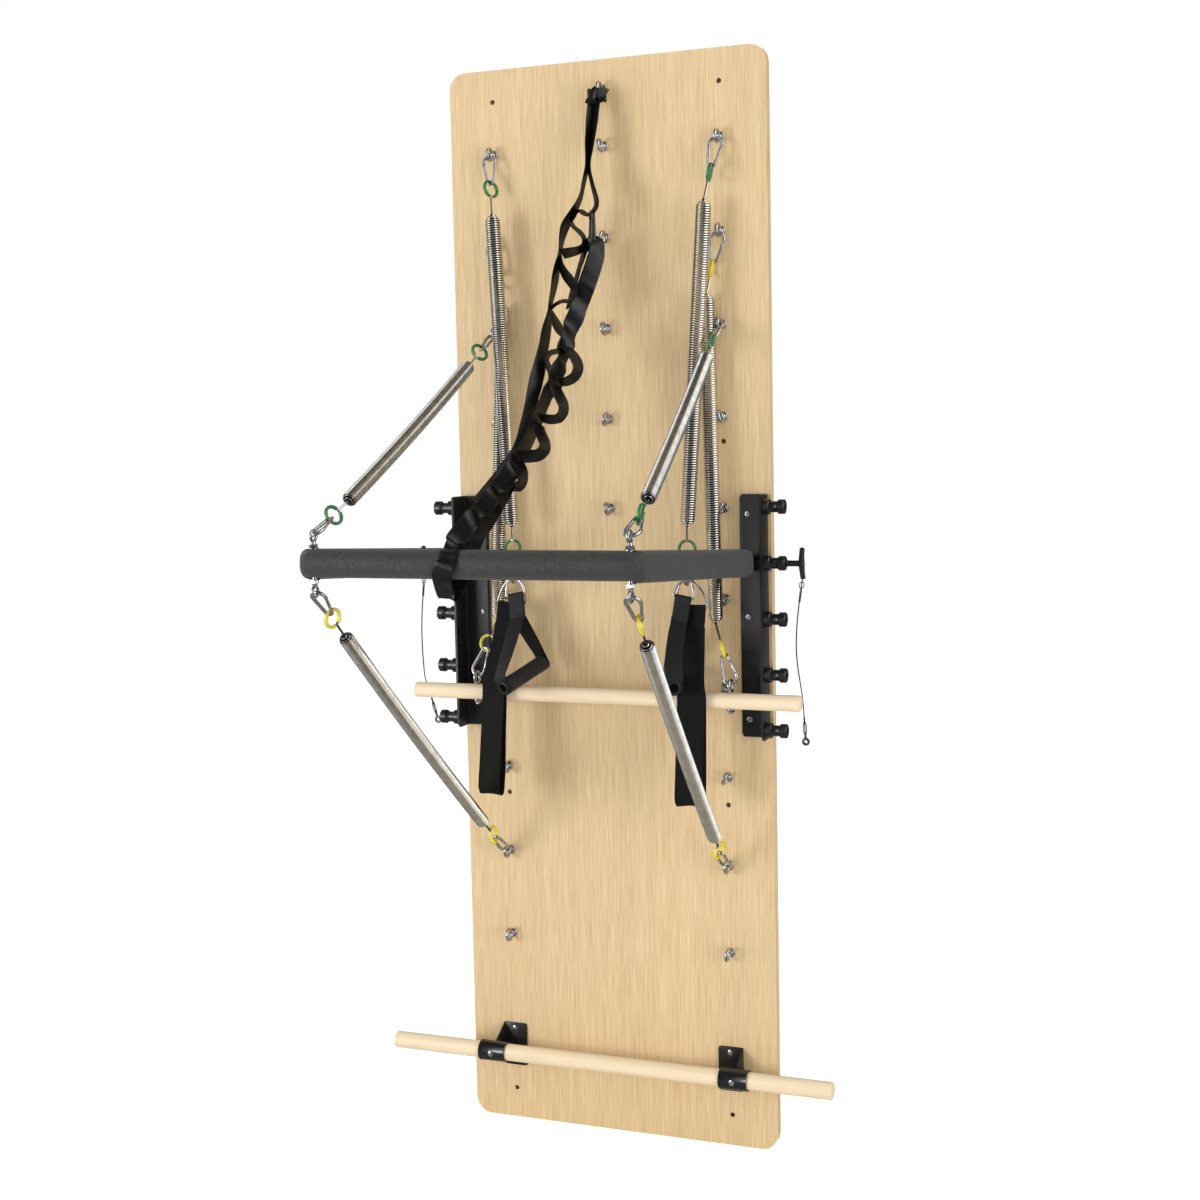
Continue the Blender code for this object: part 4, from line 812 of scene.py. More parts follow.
def carabiner_ends(eye_wire, toward):
    along = unit(np.asarray(toward) - eye_wire)
    near = eye_wire - along * (EYE_WIRE + CARABINER_WIRE + TOUCH)
    return near, near + along * (CARABINER - 2 * CARABINER_WIRE)


def ring_catch(far, toward):
    return far - unit(np.asarray(toward) - far) * (CARABINER_WIRE + HOOK_WIRE + TOUCH)


def end_ring(catch, along, normal, finish):
    """A spring's end loop and its coloured sleeve: two circles carried round one centre, the sleeve
    open where the hook leaves and thinner where the carabiner bears."""
    out = unit(np.cross(normal, along))
    centre = catch + along * END_RING
    wire = tube(hoop(centre, along, out, END_RING), HOOK_WIRE, 10, ring=True, up=normal)
    angle = np.radians(np.linspace(16, 344, 40))
    path = centre + END_RING * (np.cos(angle)[:, None] * along + np.sin(angle)[:, None] * out)
    bare = np.exp(-(((angle - math.pi) / 0.5) ** 4))
    sleeve = tube(path, 0.0028 - 0.0007 * bare, 12, up=normal, flat=1.35, finish=finish)
    return [wire, sleeve]


def coil(catch_a, start, end, catch_b, sizes, bow=(0.0, 0.0, 0.0)):
    """A spring of one wire: straight hooks on the axis, and between them a helix whose radius grows from
    the axis over the taper's turns, stays, and shrinks again. Its axis is a parabola, bow off the straight
    line at the middle. Sixteen points make a turn."""
    outer, wire, pitch, taper = sizes
    axis = unit(end - start)
    side = unit(np.cross(axis, (0.31, 0.95, 0.05)))
    other = np.cross(axis, side)
    length = np.linalg.norm(end - start)
    turns = round(length / pitch)
    t = np.arange(turns * 16 + 1) / 16
    grow = np.clip(np.minimum(t, turns - t) / taper, 0, 1)
    spread = (outer - wire) * grow * (2 - grow)
    angle = 2 * math.pi * t
    out = np.cos(angle)[:, None] * side + np.sin(angle)[:, None] * other
    run = (t / turns)[:, None]
    body = start + axis * length * run + np.array(bow) * 4 * run * (1 - run) + out * spread[:, None]
    tie_a = catch_a + unit(start - catch_a) * 2 * END_RING
    tie_b = catch_b + unit(end - catch_b) * 2 * END_RING
    share = np.linspace(0, 1, 6)[:-1, None]
    before, after = tie_a + (start - tie_a) * share, (tie_b + (end - tie_b) * share)[::-1]
    path = np.vstack([before, body, after])
    up = np.vstack([np.broadcast_to(side, before.shape), out, np.broadcast_to(out[-1], after.shape)])
    hook = np.full(5, HOOK_WIRE)
    thinning = wire + (HOOK_WIRE - wire) * np.clip(1 - np.minimum(t, turns - t), 0, 1)
    return tube(path, np.concatenate([hook, thinning, hook]), WIRE_SIDES, up=up)


def facing(pull, turn):
    """A ring's normal, square to the pull: edge-on to the front right at no turn, open to it at a quarter."""
    edge = unit(np.cross(pull, FRONT_RIGHT))
    return edge * math.cos(math.radians(turn)) + np.cross(pull, edge) * math.sin(math.radians(turn))


def eye_centre(side, row):
    return at(SIDES[side] * EYE_X, EYE_REACH, EYE_TOP - EYE_PITCH * row)


def board_eye(centre, yaw):
    """A screw eye: a ring carried round its centre in a plane turned by yaw about the screw's own axis,
    over a turned neck and a round seat on the board."""
    rise = np.array([-math.sin(yaw), 0.0, math.cos(yaw)])
    normal = np.array([math.cos(yaw), 0.0, math.sin(yaw)])
    ring = tube(hoop(centre, OUTWARD, rise, EYE_RADIUS), EYE_WIRE, 12, ring=True, up=normal)
    foot = np.array([centre[0], -(BOARD_THICKNESS + 0.0002), centre[2]])
    seat = [(0, 0.0086), (0.0004, 0.0090), (0.0028, 0.0090), (0.0038, 0.0082)]
    neck = [(0.0044, 0.0060), (0.0052, 0.0048), (0.0068, 0.0040)]
    return [ring, turned(foot, OUTWARD, seat + neck, 28)]


def bar_eye_line(sign):
    return at(sign * (BAR_HALF - 0.005), BAR_REACH - 0.004, BAR_Z)


def bar_eye_centre(side, level):
    return bar_eye_line(SIDES[side]) + UPWARD * level * (PAD_RADIUS + BAR_EYE_OUT)


def bar_skin(high, wide, front, ease, end, square=1.0):
    """The U of the push bar as one surface. Each line along it is the centre line set off sideways and up
    by the section, so it turns each corner on its own fillet: ease plus the offset outside, a crease
    inside. Across the front the section is a circle; on the arms it is an ellipse of its own width and
    height, its sine and cosine raised to a power below 1 to square it. The rear ends draw in."""
    c, s = circle(36)
    slope = (BAR_Z - PIVOT_Z) / (BAR_REACH - BUSH_REACH)
    turn = np.linspace(0, math.pi / 2, 16)[:, None]
    last = BAR_REACH - end
    arm = np.linspace(0.05, last - 0.006, 30)[:, None]
    tail = last - np.array([0.0045, 0.0025, 0.0010, 0.0003, 0.0])[:, None]
    drawn = 1 - np.array([0.010, 0.045, 0.115, 0.19, 0.27])[:, None]
    share = np.vstack([np.sin(turn) ** 2, 1 + 0 * arm, 1 + 0 * tail])
    power = 1 + (square - 1) * share
    pull = np.vstack([1 - 0.10 * np.sin(2 * turn) ** 2, 1 + 0 * arm, drawn])
    offset = np.sign(c) * np.abs(c) ** power * (front + (wide - front) * share) * pull
    lift = np.sign(s) * np.abs(s) ** power * (front + (high - front) * share) * pull
    raised = 0.8 * (high - front)
    bend = len(turn)
    fillet = np.maximum(ease + offset[:bend], 0.0015)
    u = np.vstack([offset[:bend] - fillet + fillet * np.sin(turn), offset[bend:]])
    v = np.vstack([fillet - offset[:bend] - fillet * np.cos(turn), arm + 0 * c, tail + 0 * c])
    y = -(BOARD_THICKNESS + BAR_REACH - v)
    z = BAR_Z + lift + raised * (1 - share) - slope * np.maximum(v, 0.0)
    right = np.stack([BAR_HALF + u, y, z], axis=2)
    left = np.stack([-(BAR_HALF + u), y, z], axis=2)
    x = np.linspace(-1, 1, 43)[:, None] * (BAR_HALF - 0.036) + 0 * c
    middle_y, middle_z = 0 * x - (BOARD_THICKNESS + BAR_REACH + front * c), 0 * x + BAR_Z + front * s + raised
    return skin(np.vstack([left[::-1], np.stack([x, middle_y, middle_z], axis=2), right]))


def rolled(points, tilt):
    """Points turned clockwise as seen from the front."""
    c, s = math.cos(tilt), math.sin(tilt)
    return np.asarray(points) @ np.array([[c, 0, -s], [0, 1, 0], [s, 0, c]])


def d_loop(bar, width, height, shift, lean, tilt=0.0):
    """A D of wire: a straight bar, and a bow that rises as the sine of its angle, its top set aside by
    shift and back by lean. The whole is tilted about the crosswise middle of its bar."""
    half = width / 2
    a = np.radians([3, 20, 38, 56, 73, 90, 107, 124, 142, 160, 177])
    rise = np.minimum(np.sin(a) / math.sin(math.radians(72)), 1.0)
    bow = np.stack([half * np.cos(a) + shift * rise, lean * rise, height * rise], axis=1)
    inner = np.array([[-half + 0.0035, 0, 0], [-half / 2, 0, 0], [half / 2, 0, 0], [half - 0.0035, 0, 0]])
    path = bar + rolled(np.vstack([bow, inner]), tilt)
    up = unit(np.cross(CROSSWISE, (shift, lean, height)))
    return tube(smooth_ring(path, 0.0028), D_WIRE, 10, ring=True, up=up)


def fold(bar, low, width, thickness, across=(1.0, 0.0, 0.0), finish=0):
    """Webbing folded round a ring's bar and sewn to itself: down the front face, its centre line turns
    half a circle about the bar and comes down the back."""
    down = unit(low - bar)
    face = unit(np.cross(across, down))
    outer = D_WIRE + thickness / 2
    neck = bar + down * (2.2 * outer)
    a = np.radians(np.linspace(0, 180, 11))[:, None]
    arc = bar + face * (outer * np.cos(a)) - down * (outer * np.sin(a))
    gap = thickness * 0.52
    front = np.linspace(low + face * gap, neck + face * gap, 8)
    back = np.linspace(neck - face * gap, low - face * gap, 8)
    return band(np.vstack([front, arc, back]), across, width, thickness, finish=finish)


# The pieces, each made by one operator


class SPRINGBOARD_OT_lanyards(bpy.types.Operator):
    """The lock pins' retaining cables: a circle carried along a smooth curve through the hanging route,
    with a crimped eye at the handle, and a plastic sleeve and lug at the free end"""

    bl_idname = "springboard.lanyards"
    bl_label = "Lanyards"
    bl_options = {"REGISTER", "UNDO"}

    def execute(self, context):
        f = finishes()
        for side in SIDES:
            pin = f"lock_pin_{side}"
            path = smooth([at(x, BUSH_REACH, z) for x, z in LANYARDS[side]], 0.006)
            cable_skin = tube(path, LANYARD_RADIUS, 10, up=OUTWARD)
            rope = piece(f"cable_{side}", [cable_skin], [f["rope"]], pin, (f"lanyard_{side}",))
            low, down, up = path[-1], unit(path[-1] - path[-5]), unit(path[0] - path[6])
            round_way = np.cross(down, OUTWARD)
            barrel = [(0, 0.0017), (0.0003, 0.0021), (0.0082, 0.0021), (0.0088, 0.0017)]
            crimp = [(0, 0.0014), (0.0004, 0.0020), (0.0050, 0.0020), (0.0054, 0.0014)]
            walked = walked_along(path)

            def stretch(first, last):
                inside = (walked > first + 0.001) & (walked < last - 0.001)
                ends = sampled(np.array([first, last]), walked, path)
                return np.vstack([ends[:1], path[inside], ends[1:]])

            def wire_loop(points, wire, sides, **more):
                return tube(points, wire, sides, ring=True, up=OUTWARD, **more)

            total = walked[-1]
            mid = stretch(0.0095, 0.0160)
            shells = [
                wire_loop(hoop(low + down * 0.0105, down, round_way, 0.0050, 30), 0.0026, 12, flat=0.5),
                turned(low - down * 0.0045, down, barrel, 20),
                tube(stretch(total - 0.0330, total - 0.0250), 0.0017, 12, up=OUTWARD, finish=1),
                wire_loop(
                    hoop(low - down * 0.0130, down * 0.0120, round_way * 0.0030, 1.0), 0.0009, 8, finish=1,
                ),
                tube(stretch(0.0190, 0.0400), 0.0020, 12, up=OUTWARD, finish=1),
                wire_loop(mid[0] + hoop(np.zeros(3), -up * 1.35, CROSSWISE, 0.0042, 30), 0.0008, 8),
                turned(mid[-1], -up, crimp, 20),
            ]
            finished = [f["lug"], f["bush"]]
            fittings = piece(
                f"cable_fittings_{side}", shells, finished, pin, (f"lanyard_ring_{side}",),
            )
        return {"FINISHED"}


class SPRINGBOARD_OT_board(bpy.types.Operator):
    """The wall panel, which keeps its fixed solid and takes the oak finish, and its eight wall screws:
    domes falling as the square of the radius, less a cross recess, set back in the holes over near-black
    shanks of painted shade"""

    bl_idname = "springboard.board"
    bl_label = "Wall panel"
    bl_options = {"REGISTER", "UNDO"}

    def execute(self, context):
        f = finishes()
        panel = frame["nodes"]["board_panel"]
        for k in range(len(panel.material_slots)):
            panel.material_slots[k].material = f["board"]
        shells = []
        shank = [(0, 0.0022), (0.0135, 0.0022), (0.0145, 0.0043), (0.0151, 0.0043)]
        for z in WALL_SCREW_HEIGHTS:
            for x in (-WALL_SCREW_X, WALL_SCREW_X):
                turn = 0.4 + 3.1 * z + x
                shells.append(screw(at(x, -0.0045, z), OUTWARD, 0.0046, 0.0022, turn))
                # Painted shade: the shank inside the hole is near-black, standing for the shade in the hole
                shells.append(turned(at(x, -0.0195, z), OUTWARD, shank, 20, finish=1))
        piece("wall_screws", shells, [f["bronze"], f["recess"]], "wall_panel")
        return {"FINISHED"}


class SPRINGBOARD_OT_eyebolts(bpy.types.Operator):
    """Screw eyes: a ring carried round its centre, its plane turned about the screw, over a turned neck
    and seat. Nine carry springs or the strap and stand upright; seventeen are spare and stand turned"""

    bl_idname = "springboard.eyebolts"
    bl_label = "Screw eyes"
    bl_options = {"REGISTER", "UNDO"}

    def execute(self, context):
        f = finishes()
        places = [(row, side) for row in CARRYING_ROWS for side in SIDES]
        carrying = [(f"eyebolt_{row}_{side}", eye_centre(side, CARRYING_ROWS[row])) for row, side in places]
        carrying.append(("eyebolt_strap", at(0, EYE_REACH, STRAP_EYE_Z)))
        for name, centre in carrying:
            shells = board_eye(centre, 0.0)
            piece(
                name.replace("eyebolt", "screw_eye"), shells, [f["plated"]], "wall_panel",
                (name,),
            )
        spare = []
        for side, sign in SIDES.items():
            for row in SPARE_ROWS:
                yaw = math.radians(24 * math.sin(2.3 * row + 1.7 * sign))
                spare += board_eye(eye_centre(side, row), yaw)
        for row in range(MIDDLE_ROWS):
            yaw = math.radians(20 * math.sin(3.1 * row + 0.6))
            spare += board_eye(at(0, EYE_REACH, EYE_TOP - EYE_PITCH * row), yaw)
        piece("spare_screw_eyes", spare, [f["plated"]], "wall_panel")
        return {"FINISHED"}


# How the bar springs' end rings and carabiners are turned, at the board and at the bar; 1 is the upper level
RING_TURNS = {
    ("left", 1): (78, -78), ("left", -1): (-25, 48), ("right", 1): (0, -22), ("right", -1): (-55, 5),
}
HOOK_LEANS = {
    ("left", 1): (0.45, 0.5), ("left", -1): (0.0, 0.0), ("right", 1): (0.55, 0.0), ("right", -1): (0.4, 0.0),
}
BAR_SPRING_DROP, BAR_SPRING_LEAD = 0.0095, 0.056


def bar_pull(side, level):
    """A bar spring's line: its contact on the eye in the board, the ends of its windings, its contact on the
    eye at the bar, and how far its weight lets it down at the middle."""
    board = eye_centre(side, 2 if level > 0 else 8)
    bar = bar_eye_centre(side, level)
    board, bar = wire_contact(board, EYE_RADIUS, bar), wire_contact(bar, BAR_EYE, board)
    pull = unit(bar - board)
    drop = square_to(-UPWARD, pull[None])[0] * BAR_SPRING_DROP
    lead = CARABINER - EYE_WIRE - 3 * CARABINER_WIRE - HOOK_WIRE + BAR_SPRING_LEAD
    return board, board + pull * lead + drop * 0.6, bar - pull * lead + drop * 0.6, bar, drop


class SPRINGBOARD_OT_carabiners(bpy.types.Operator):
    """Snap hooks: a wire carried round a wide arc, a straight side and a narrow arc, with a gate between the
    two tips and a rivet through its hinge"""

    bl_idname = "springboard.carabiners"
    bl_label = "Carabiners"
    bl_options = {"REGISTER", "UNDO"}

    def execute(self, context):
        f = finishes()

        def hook(name, eye_wire, toward, across, body):
            shells = carabiner(*carabiner_ends(eye_wire, toward), across, CARABINER_WIRE)
            piece(name.replace("carabiner", "snap_hook"), shells, [f["plated"]], body, (name,))

        for side in SIDES:
            for level, word in ((1, "upper"), (-1, "lower")):
                board, start, end, bar, _ = bar_pull(side, level)
                leans = HOOK_LEANS[side, level]
                at_wall, at_bar = (unit(CROSSWISE * (1 - lean) + FRONT_RIGHT * lean) for lean in leans)
                hook(f"bar_carabiner_{word}_wall_{side}", board, start, at_wall, "wall_panel")
                hook(f"bar_carabiner_{word}_bar_{side}", bar, end, at_bar, "push_bar")
            start, end = on_side(GREEN_TOP, side), on_side(GREEN_LOW, side)
            eye, low = wire_contact(eye_centre(side, 0), EYE_RADIUS, start), on_side(RING_TOP, side)
            hook(f"handle_carabiner_top_{side}", eye, start, CROSSWISE, f"handle_spring_{side}")
            hook(f"handle_carabiner_low_{side}", low, end, OUTWARD, f"handle_spring_{side}")
            start, end = on_side(YELLOW_TOP, side), on_side(YELLOW_LOW, side)
            eye = wire_contact(eye_centre(side, 1), EYE_RADIUS, start)
            low = wire_contact(roll_eye_centre(side), EYE_RADIUS, end)
            hook(f"roll_down_carabiner_top_{side}", eye, start, CROSSWISE, "wall_panel")
            hook(f"roll_down_carabiner_low_{side}", low, end, CROSSWISE, "roll_down")
        shells = carabiner(at(0.0130, 0.0993, 0.6560), at(0.0090, 0.0850, 0.7180), (0.10, -1.0, 0.0), 0.0036)
        piece("strap_snap_hook", shells, [f["clamp"]], "wall_panel", ("strap_carabiner",))
        return {"FINISHED"}


def roll_eye_centre(side):
    return at(SIDES[side] * ROLL_EYE_X, ROLL_REACH, ROLL_Z + ROLL_RADIUS + ROLL_EYE_OUT)


class SPRINGBOARD_OT_bar_springs(bpy.types.Operator):
    """The bar's four springs: a helix wound wire to wire, its ends drawn in to the axis, with straight hooks
    and sleeved end loops. It stretches between the board and the bar"""

    bl_idname = "springboard.bar_springs"
    bl_label = "Bar springs"
    bl_options = {"REGISTER", "UNDO"}

    def execute(self, context):
        f = finishes()
        for side in SIDES:
            for level, word, sleeve in ((1, "upper", "green"), (-1, "lower", "yellow")):
                board, start, end, bar, drop = bar_pull(side, level)
                catch_a = ring_catch(carabiner_ends(board, start)[1], start)
                catch_b = ring_catch(carabiner_ends(bar, end)[1], end)
                shells = [coil(catch_a, start, end, catch_b, BAR_COIL, drop * 0.4)]
                for catch, mouth, turn in zip((catch_a, catch_b), (start, end), RING_TURNS[side, level]):
                    pull = unit(mouth - catch)
                    shells += end_ring(catch, pull, facing(pull, turn), 1)
                bodies = ("wall_panel", "push_bar", tuple(start), tuple(end))
                finished, node_name = [f["rod"], f[sleeve]], f"bar_spring_{word}_{side}"
                piece(f"bar_coil_{word}_{side}", shells, finished, bodies, (node_name,))
        return {"FINISHED"}


# The normals of end rings seen nearly edge-on, one turned to face right and one to face left
FACING_RIGHT, FACING_LEFT = unit((0.91, -0.41, 0.0)), unit((0.97, 0.25, 0.0))


def hung_spring(catch_a, start, end, catch_b, normals):
    shells = [coil(catch_a, start, end, catch_b, HUNG_COIL)]
    shells += end_ring(catch_a, unit(start - catch_a), normals[0], 1)
    shells += end_ring(catch_b, unit(end - catch_b), normals[1], 1)
    return shells


class SPRINGBOARD_OT_handle_springs(bpy.types.Operator):
    """The green springs that carry the handles: an open helix with drawn-in ends, straight hooks and
    sleeved end loops, hanging from the top eyes"""

    bl_idname = "springboard.handle_springs"
    bl_label = "Handle springs"
    bl_options = {"REGISTER", "UNDO"}

    def execute(self, context):
        f = finishes()
        for side in SIDES:
            start, end = on_side(GREEN_TOP, side), on_side(GREEN_LOW, side)
            eye = wire_contact(eye_centre(side, 0), EYE_RADIUS, start)
            catch_a = ring_catch(carabiner_ends(eye, start)[1], start)
            catch_b = ring_catch(carabiner_ends(on_side(RING_TOP, side), end)[1], end)
            top_normal = FACING_RIGHT if side == "left" else FACING_LEFT
            shells = hung_spring(catch_a, start, end, catch_b, (top_normal, OUTWARD))
            swung = f"handle_spring_{side}"
            piece(f"handle_coil_{side}", shells, [f["coil"], f["green"]], swung, (swung,))
        return {"FINISHED"}


class SPRINGBOARD_OT_roll_down_springs(bpy.types.Operator):
    """The yellow springs that carry the roll-down bar, made as the green ones are. They stretch between
    the board and the bar"""

    bl_idname = "springboard.roll_down_springs"
    bl_label = "Roll-down springs"
    bl_options = {"REGISTER", "UNDO"}

    def execute(self, context):
        f = finishes()
        for side in SIDES:
            start, end = on_side(YELLOW_TOP, side), on_side(YELLOW_LOW, side)
            eye = wire_contact(eye_centre(side, 1), EYE_RADIUS, start)
            low = wire_contact(roll_eye_centre(side), EYE_RADIUS, end)
            catch_a = ring_catch(carabiner_ends(eye, start)[1], start)
            catch_b = ring_catch(carabiner_ends(low, end)[1], end)
            low_normal = OUTWARD if side == "left" else FACING_LEFT
            shells = hung_spring(catch_a, start, end, catch_b, (FACING_LEFT, low_normal))
            bodies = ("wall_panel", "roll_down", tuple(start), tuple(end))
            finished, node_name = [f["coil"], f["yellow"]], f"roll_down_spring_{side}"
            piece(f"roll_down_coil_{side}", shells, finished, bodies, (node_name,))
        return {"FINISHED"}


class SPRINGBOARD_OT_side_brackets(bpy.types.Operator):
    """The side brackets: a rounded rectangle carried round a right-angled bend, five turned spools with
    through bores, near-black discs of painted shade in the four empty bores, and cross-headed screws"""

    bl_idname = "springboard.side_brackets"
    bl_label = "Side brackets"
    bl_options = {"REGISTER", "UNDO"}

    def execute(self, context):
        f = finishes()
        wall, half, bend = BRACKET_WALL, BRACKET_WALL / 2, 0.0045
        lead = np.array([0.0, 0.0006, 0.0016, 0.0030, 0.0050])
        turn = np.radians(np.linspace(0, 90, 8))
        outside, behind = BRACKET_OUT - half, 0.0003 + half
        x = np.concatenate([BRACKET_IN + lead, outside - bend + bend * np.sin(turn), np.full(4, outside)])
        rim = BRACKET_DEEP - np.array([0.0085, 0.0040, 0.0012, 0.0])
        d = np.concatenate([behind + 0 * lead, behind + bend - bend * np.cos(turn), rim])
        corner = 0.008 - np.sqrt(np.maximum(0.008**2 - (0.008 - 1.6 * lead) ** 2, 0))
        cut_top, cut_low = np.array([0, 0.0002, 0.0009, 0.0026]), np.array([0, 0.0045, 0.0074, 0.0088])
        top = np.concatenate([BRACKET_TOP - corner, np.full(8, BRACKET_TOP), BRACKET_TOP - cut_top])
        low = np.concatenate([BRACKET_LOW + corner, np.full(8, BRACKET_LOW), BRACKET_LOW + cut_low])
        spool = [
            (0.0, 0.0052), (0.0, 0.0132), (0.0006, 0.0138), (0.0122, 0.0138), (0.0130, 0.0130),
            (0.0142, 0.0104), (0.0152, 0.0100), (0.0268, 0.0100), (0.0278, 0.0104), (0.0288, 0.0122),
            (0.0296, 0.0130), (0.0398, 0.0130), (0.0408, 0.0120), (0.0410, 0.0108), (0.0400, 0.0098),
            (0.0400, 0.0074), (0.0408, 0.0068), (0.0406, 0.0056), (0.0396, 0.0052),
        ]
        for side, sign in SIDES.items():
            path = np.stack([sign * x, -(BOARD_THICKNESS + d), 0 * x], axis=1)
            shells = [strip(path, UPWARD, low, top, wall, 0.0008)]
            outward, painted_shade_disc = (sign, 0, 0), [(0, 0.0051), (0.001, 0.0051)]
            for z in BUSH_HEIGHTS:
                origin = at(sign * (BRACKET_OUT - 0.001), BUSH_REACH, z)
                shells.append(turned(origin, outward, spool, 40, ring=True, finish=1))
                # Painted shade: a near-black disc inside each empty spool's bore stands for the shade in the
                # hole
                if z != PIVOT_Z:
                    inside = at(sign * (BRACKET_OUT + 0.004), BUSH_REACH, z)
                    shells.append(turned(inside, outward, painted_shade_disc, 24, finish=3))
            for k, z in enumerate(BRACKET_SCREWS):
                place = at(sign * BRACKET_SCREW_X, 0.0042, z)
                shells.append(screw(place, OUTWARD, turn=0.3 + 1.1 * k + sign, finish=2))
            finished = [f["bracket"], f["bush"], f["screw"], f["recess"]]
            piece(f"bracket_{side}", shells, finished, "wall_panel", (f"side_bracket_{side}",))
        return {"FINISHED"}


class SPRINGBOARD_OT_lock_pins(bpy.types.Operator):
    """The T-handled lock pins: a turned shaft and stem, and a handle whose section is a circle carried down
    a slight arc, thickest in its middle and rounded at its ends"""

    bl_idname = "springboard.lock_pins"
    bl_label = "Lock pins"
    bl_options = {"REGISTER", "UNDO"}

    def execute(self, context):
        f = finishes()
        stop = BRACKET_OUT + BUSH_LENGTH + 0.0003
        for side, sign in SIDES.items():
            shaft = [(0, 0.0034), (0.0010, 0.0044), (0.0022, 0.0046), (stop - PIN_START + 0.001, 0.0046)]
            stem = [(0, 0.0050), (0.0005, 0.0061), (0.0030, 0.0061), (0.0038, 0.0054)]
            stem += [(0.0180, 0.0052), (0.0235, 0.0056), (0.0270, 0.0056)]
            cap = [(0, 0.0034), (0.0020, 0.0032), (0.0028, 0.0024), (0.0031, 0.0008)]
            t = np.linspace(-1, 1, 33)
            end = np.sqrt(np.clip(1 - ((np.abs(t) - 0.90) / 0.10).clip(0) ** 2, 0.02, 1))
            radius = 0.0053 * (0.86 + 0.18 * np.exp(-((t / 0.35) ** 2))) * end
            x = sign * (stop + PIN_STEM + PIN_THICK / 2 + 0.0022 * t**2 - 0.0006 * t - 0.0010)
            y = np.full(33, -(BOARD_THICKNESS + BUSH_REACH))
            grip = np.stack([x, y, PIVOT_Z + t * PIN_HANDLE / 2], axis=1)
            starts = (at(sign * v, BUSH_REACH, PIVOT_Z) for v in (PIN_START, stop, stop + PIN_STEM + 0.0080))
            inner_end, stem_end, cap_end = starts
            shells = [
                turned(inner_end, (sign, 0, 0), shaft, 24),
                turned(stem_end, (sign, 0, 0), stem, 28),
                tube(grip, radius, 24, up=OUTWARD, flat=1.15),
                turned(cap_end, (sign, 0, 0), cap, 20, finish=1),
            ]
            pin = f"lock_pin_{side}"
            piece(f"t_pin_{side}", shells, [f["plastic"], f["plated"]], pin, (pin,))
        return {"FINISHED"}


class SPRINGBOARD_OT_push_bar(bpy.types.Operator):
    """The push-through bar: one surface for the tube and one for its foam, each line of which is the U's
    centre line set off by the radius and turned round its own fillet, and the bolts with their eyes"""

    bl_idname = "springboard.push_bar"
    bl_label = "Push bar"
    bl_options = {"REGISTER", "UNDO"}

    def execute(self, context):
        f = finishes()
        sizes = context.scene.springboard_sizes
        radius = sizes.pad_radius
        steel = bar_skin(TUBE_RADIUS, TUBE_RADIUS, TUBE_RADIUS, TUBE_EASE, TUBE_END)
        piece("bar_tube", [steel], [f["clamp"]], "push_bar", ("push_bar_tube",))
        sleeve = bar_skin(radius, sizes.pad_side, sizes.pad_front, PAD_EASE, PAD_END, PAD_SQUARE)
        pad = piece("bar_foam", [sleeve], [f["foam"]], "push_bar", ("push_bar_pad",), crease=60)
        for side, sign in SIDES.items():
            line = bar_eye_line(sign)
            shells = [turned(line - UPWARD * 0.036, UPWARD, [(0, 0.0040), (0.072, 0.0040)], 20)]
            for level in (-1, 1):
                way = UPWARD * level
                seat = line + way * (radius - 0.0006 + (0.0 if level > 0 else 0.0006))
                centre = line + way * (radius + BAR_EYE_OUT)
                washer = [(0, 0.0080), (0.0003, 0.0086), (0.0011, 0.0086), (0.0014, 0.0082), (0.0014, 0.0060)]
                nut = [(0, 0.0060), (0.0006, 0.0070), (0.0050, 0.0070), (0.0056, 0.0062)]
                neck = [(0, 0.0040), (0.0004, 0.0047), (0.0030, 0.0042), (0.0052, 0.0036)]
                shells.append(turned(seat, way, washer, 32))
                shells.append(turned(seat + way * 0.0014, way, nut, 6, start=0.3))
                shells.append(turned(seat + way * 0.0068, way, neck, 24))
                eye = hoop(centre, OUTWARD, UPWARD, BAR_EYE)
                shells.append(tube(eye, BAR_EYE_WIRE, 12, ring=True, up=CROSSWISE))
            bolt = f"bar_eye_bolt_{side}"
            piece(f"bar_eye_{side}", shells, [f["plated"]], "push_bar", (bolt,))
        return {"FINISHED"}


def ring_bars(side):
    """The middles of the straight bars of the handle's D ring and of the foot loop's."""
    x, reach, z = RING_TOP
    sign = SIDES[side]
    handle = at(sign * x, reach + HANDLE_RING_AHEAD, z + TOUCH - HANDLE_RING_HEIGHT)
    loop = at(sign * (x + LOOP_RING_SHIFT), reach - LOOP_RING_BEHIND, z + TOUCH - LOOP_RING_HEIGHT)
    return handle, loop


def seam_stitches(bar, seam, across, heights):
    """Rows of stitches across both faces of a fold, at shares of the way from the ring's bar to the seam."""
    face = unit(np.cross(across, unit(seam - bar)))
    spread = across * np.linspace(-STITCH_HALF, STITCH_HALF, 9)[:, None]
    rows = [bar + (seam - bar) * height + spread for height in heights]
    faces = [(row, way) for row in rows for way in (-1, 1)]
    return [
        stitches(row + face * way * SEAM_LIFT, face * way, STITCH_LENGTH, SEAM_PITCH, finish=2)
        for row, way in faces
    ]


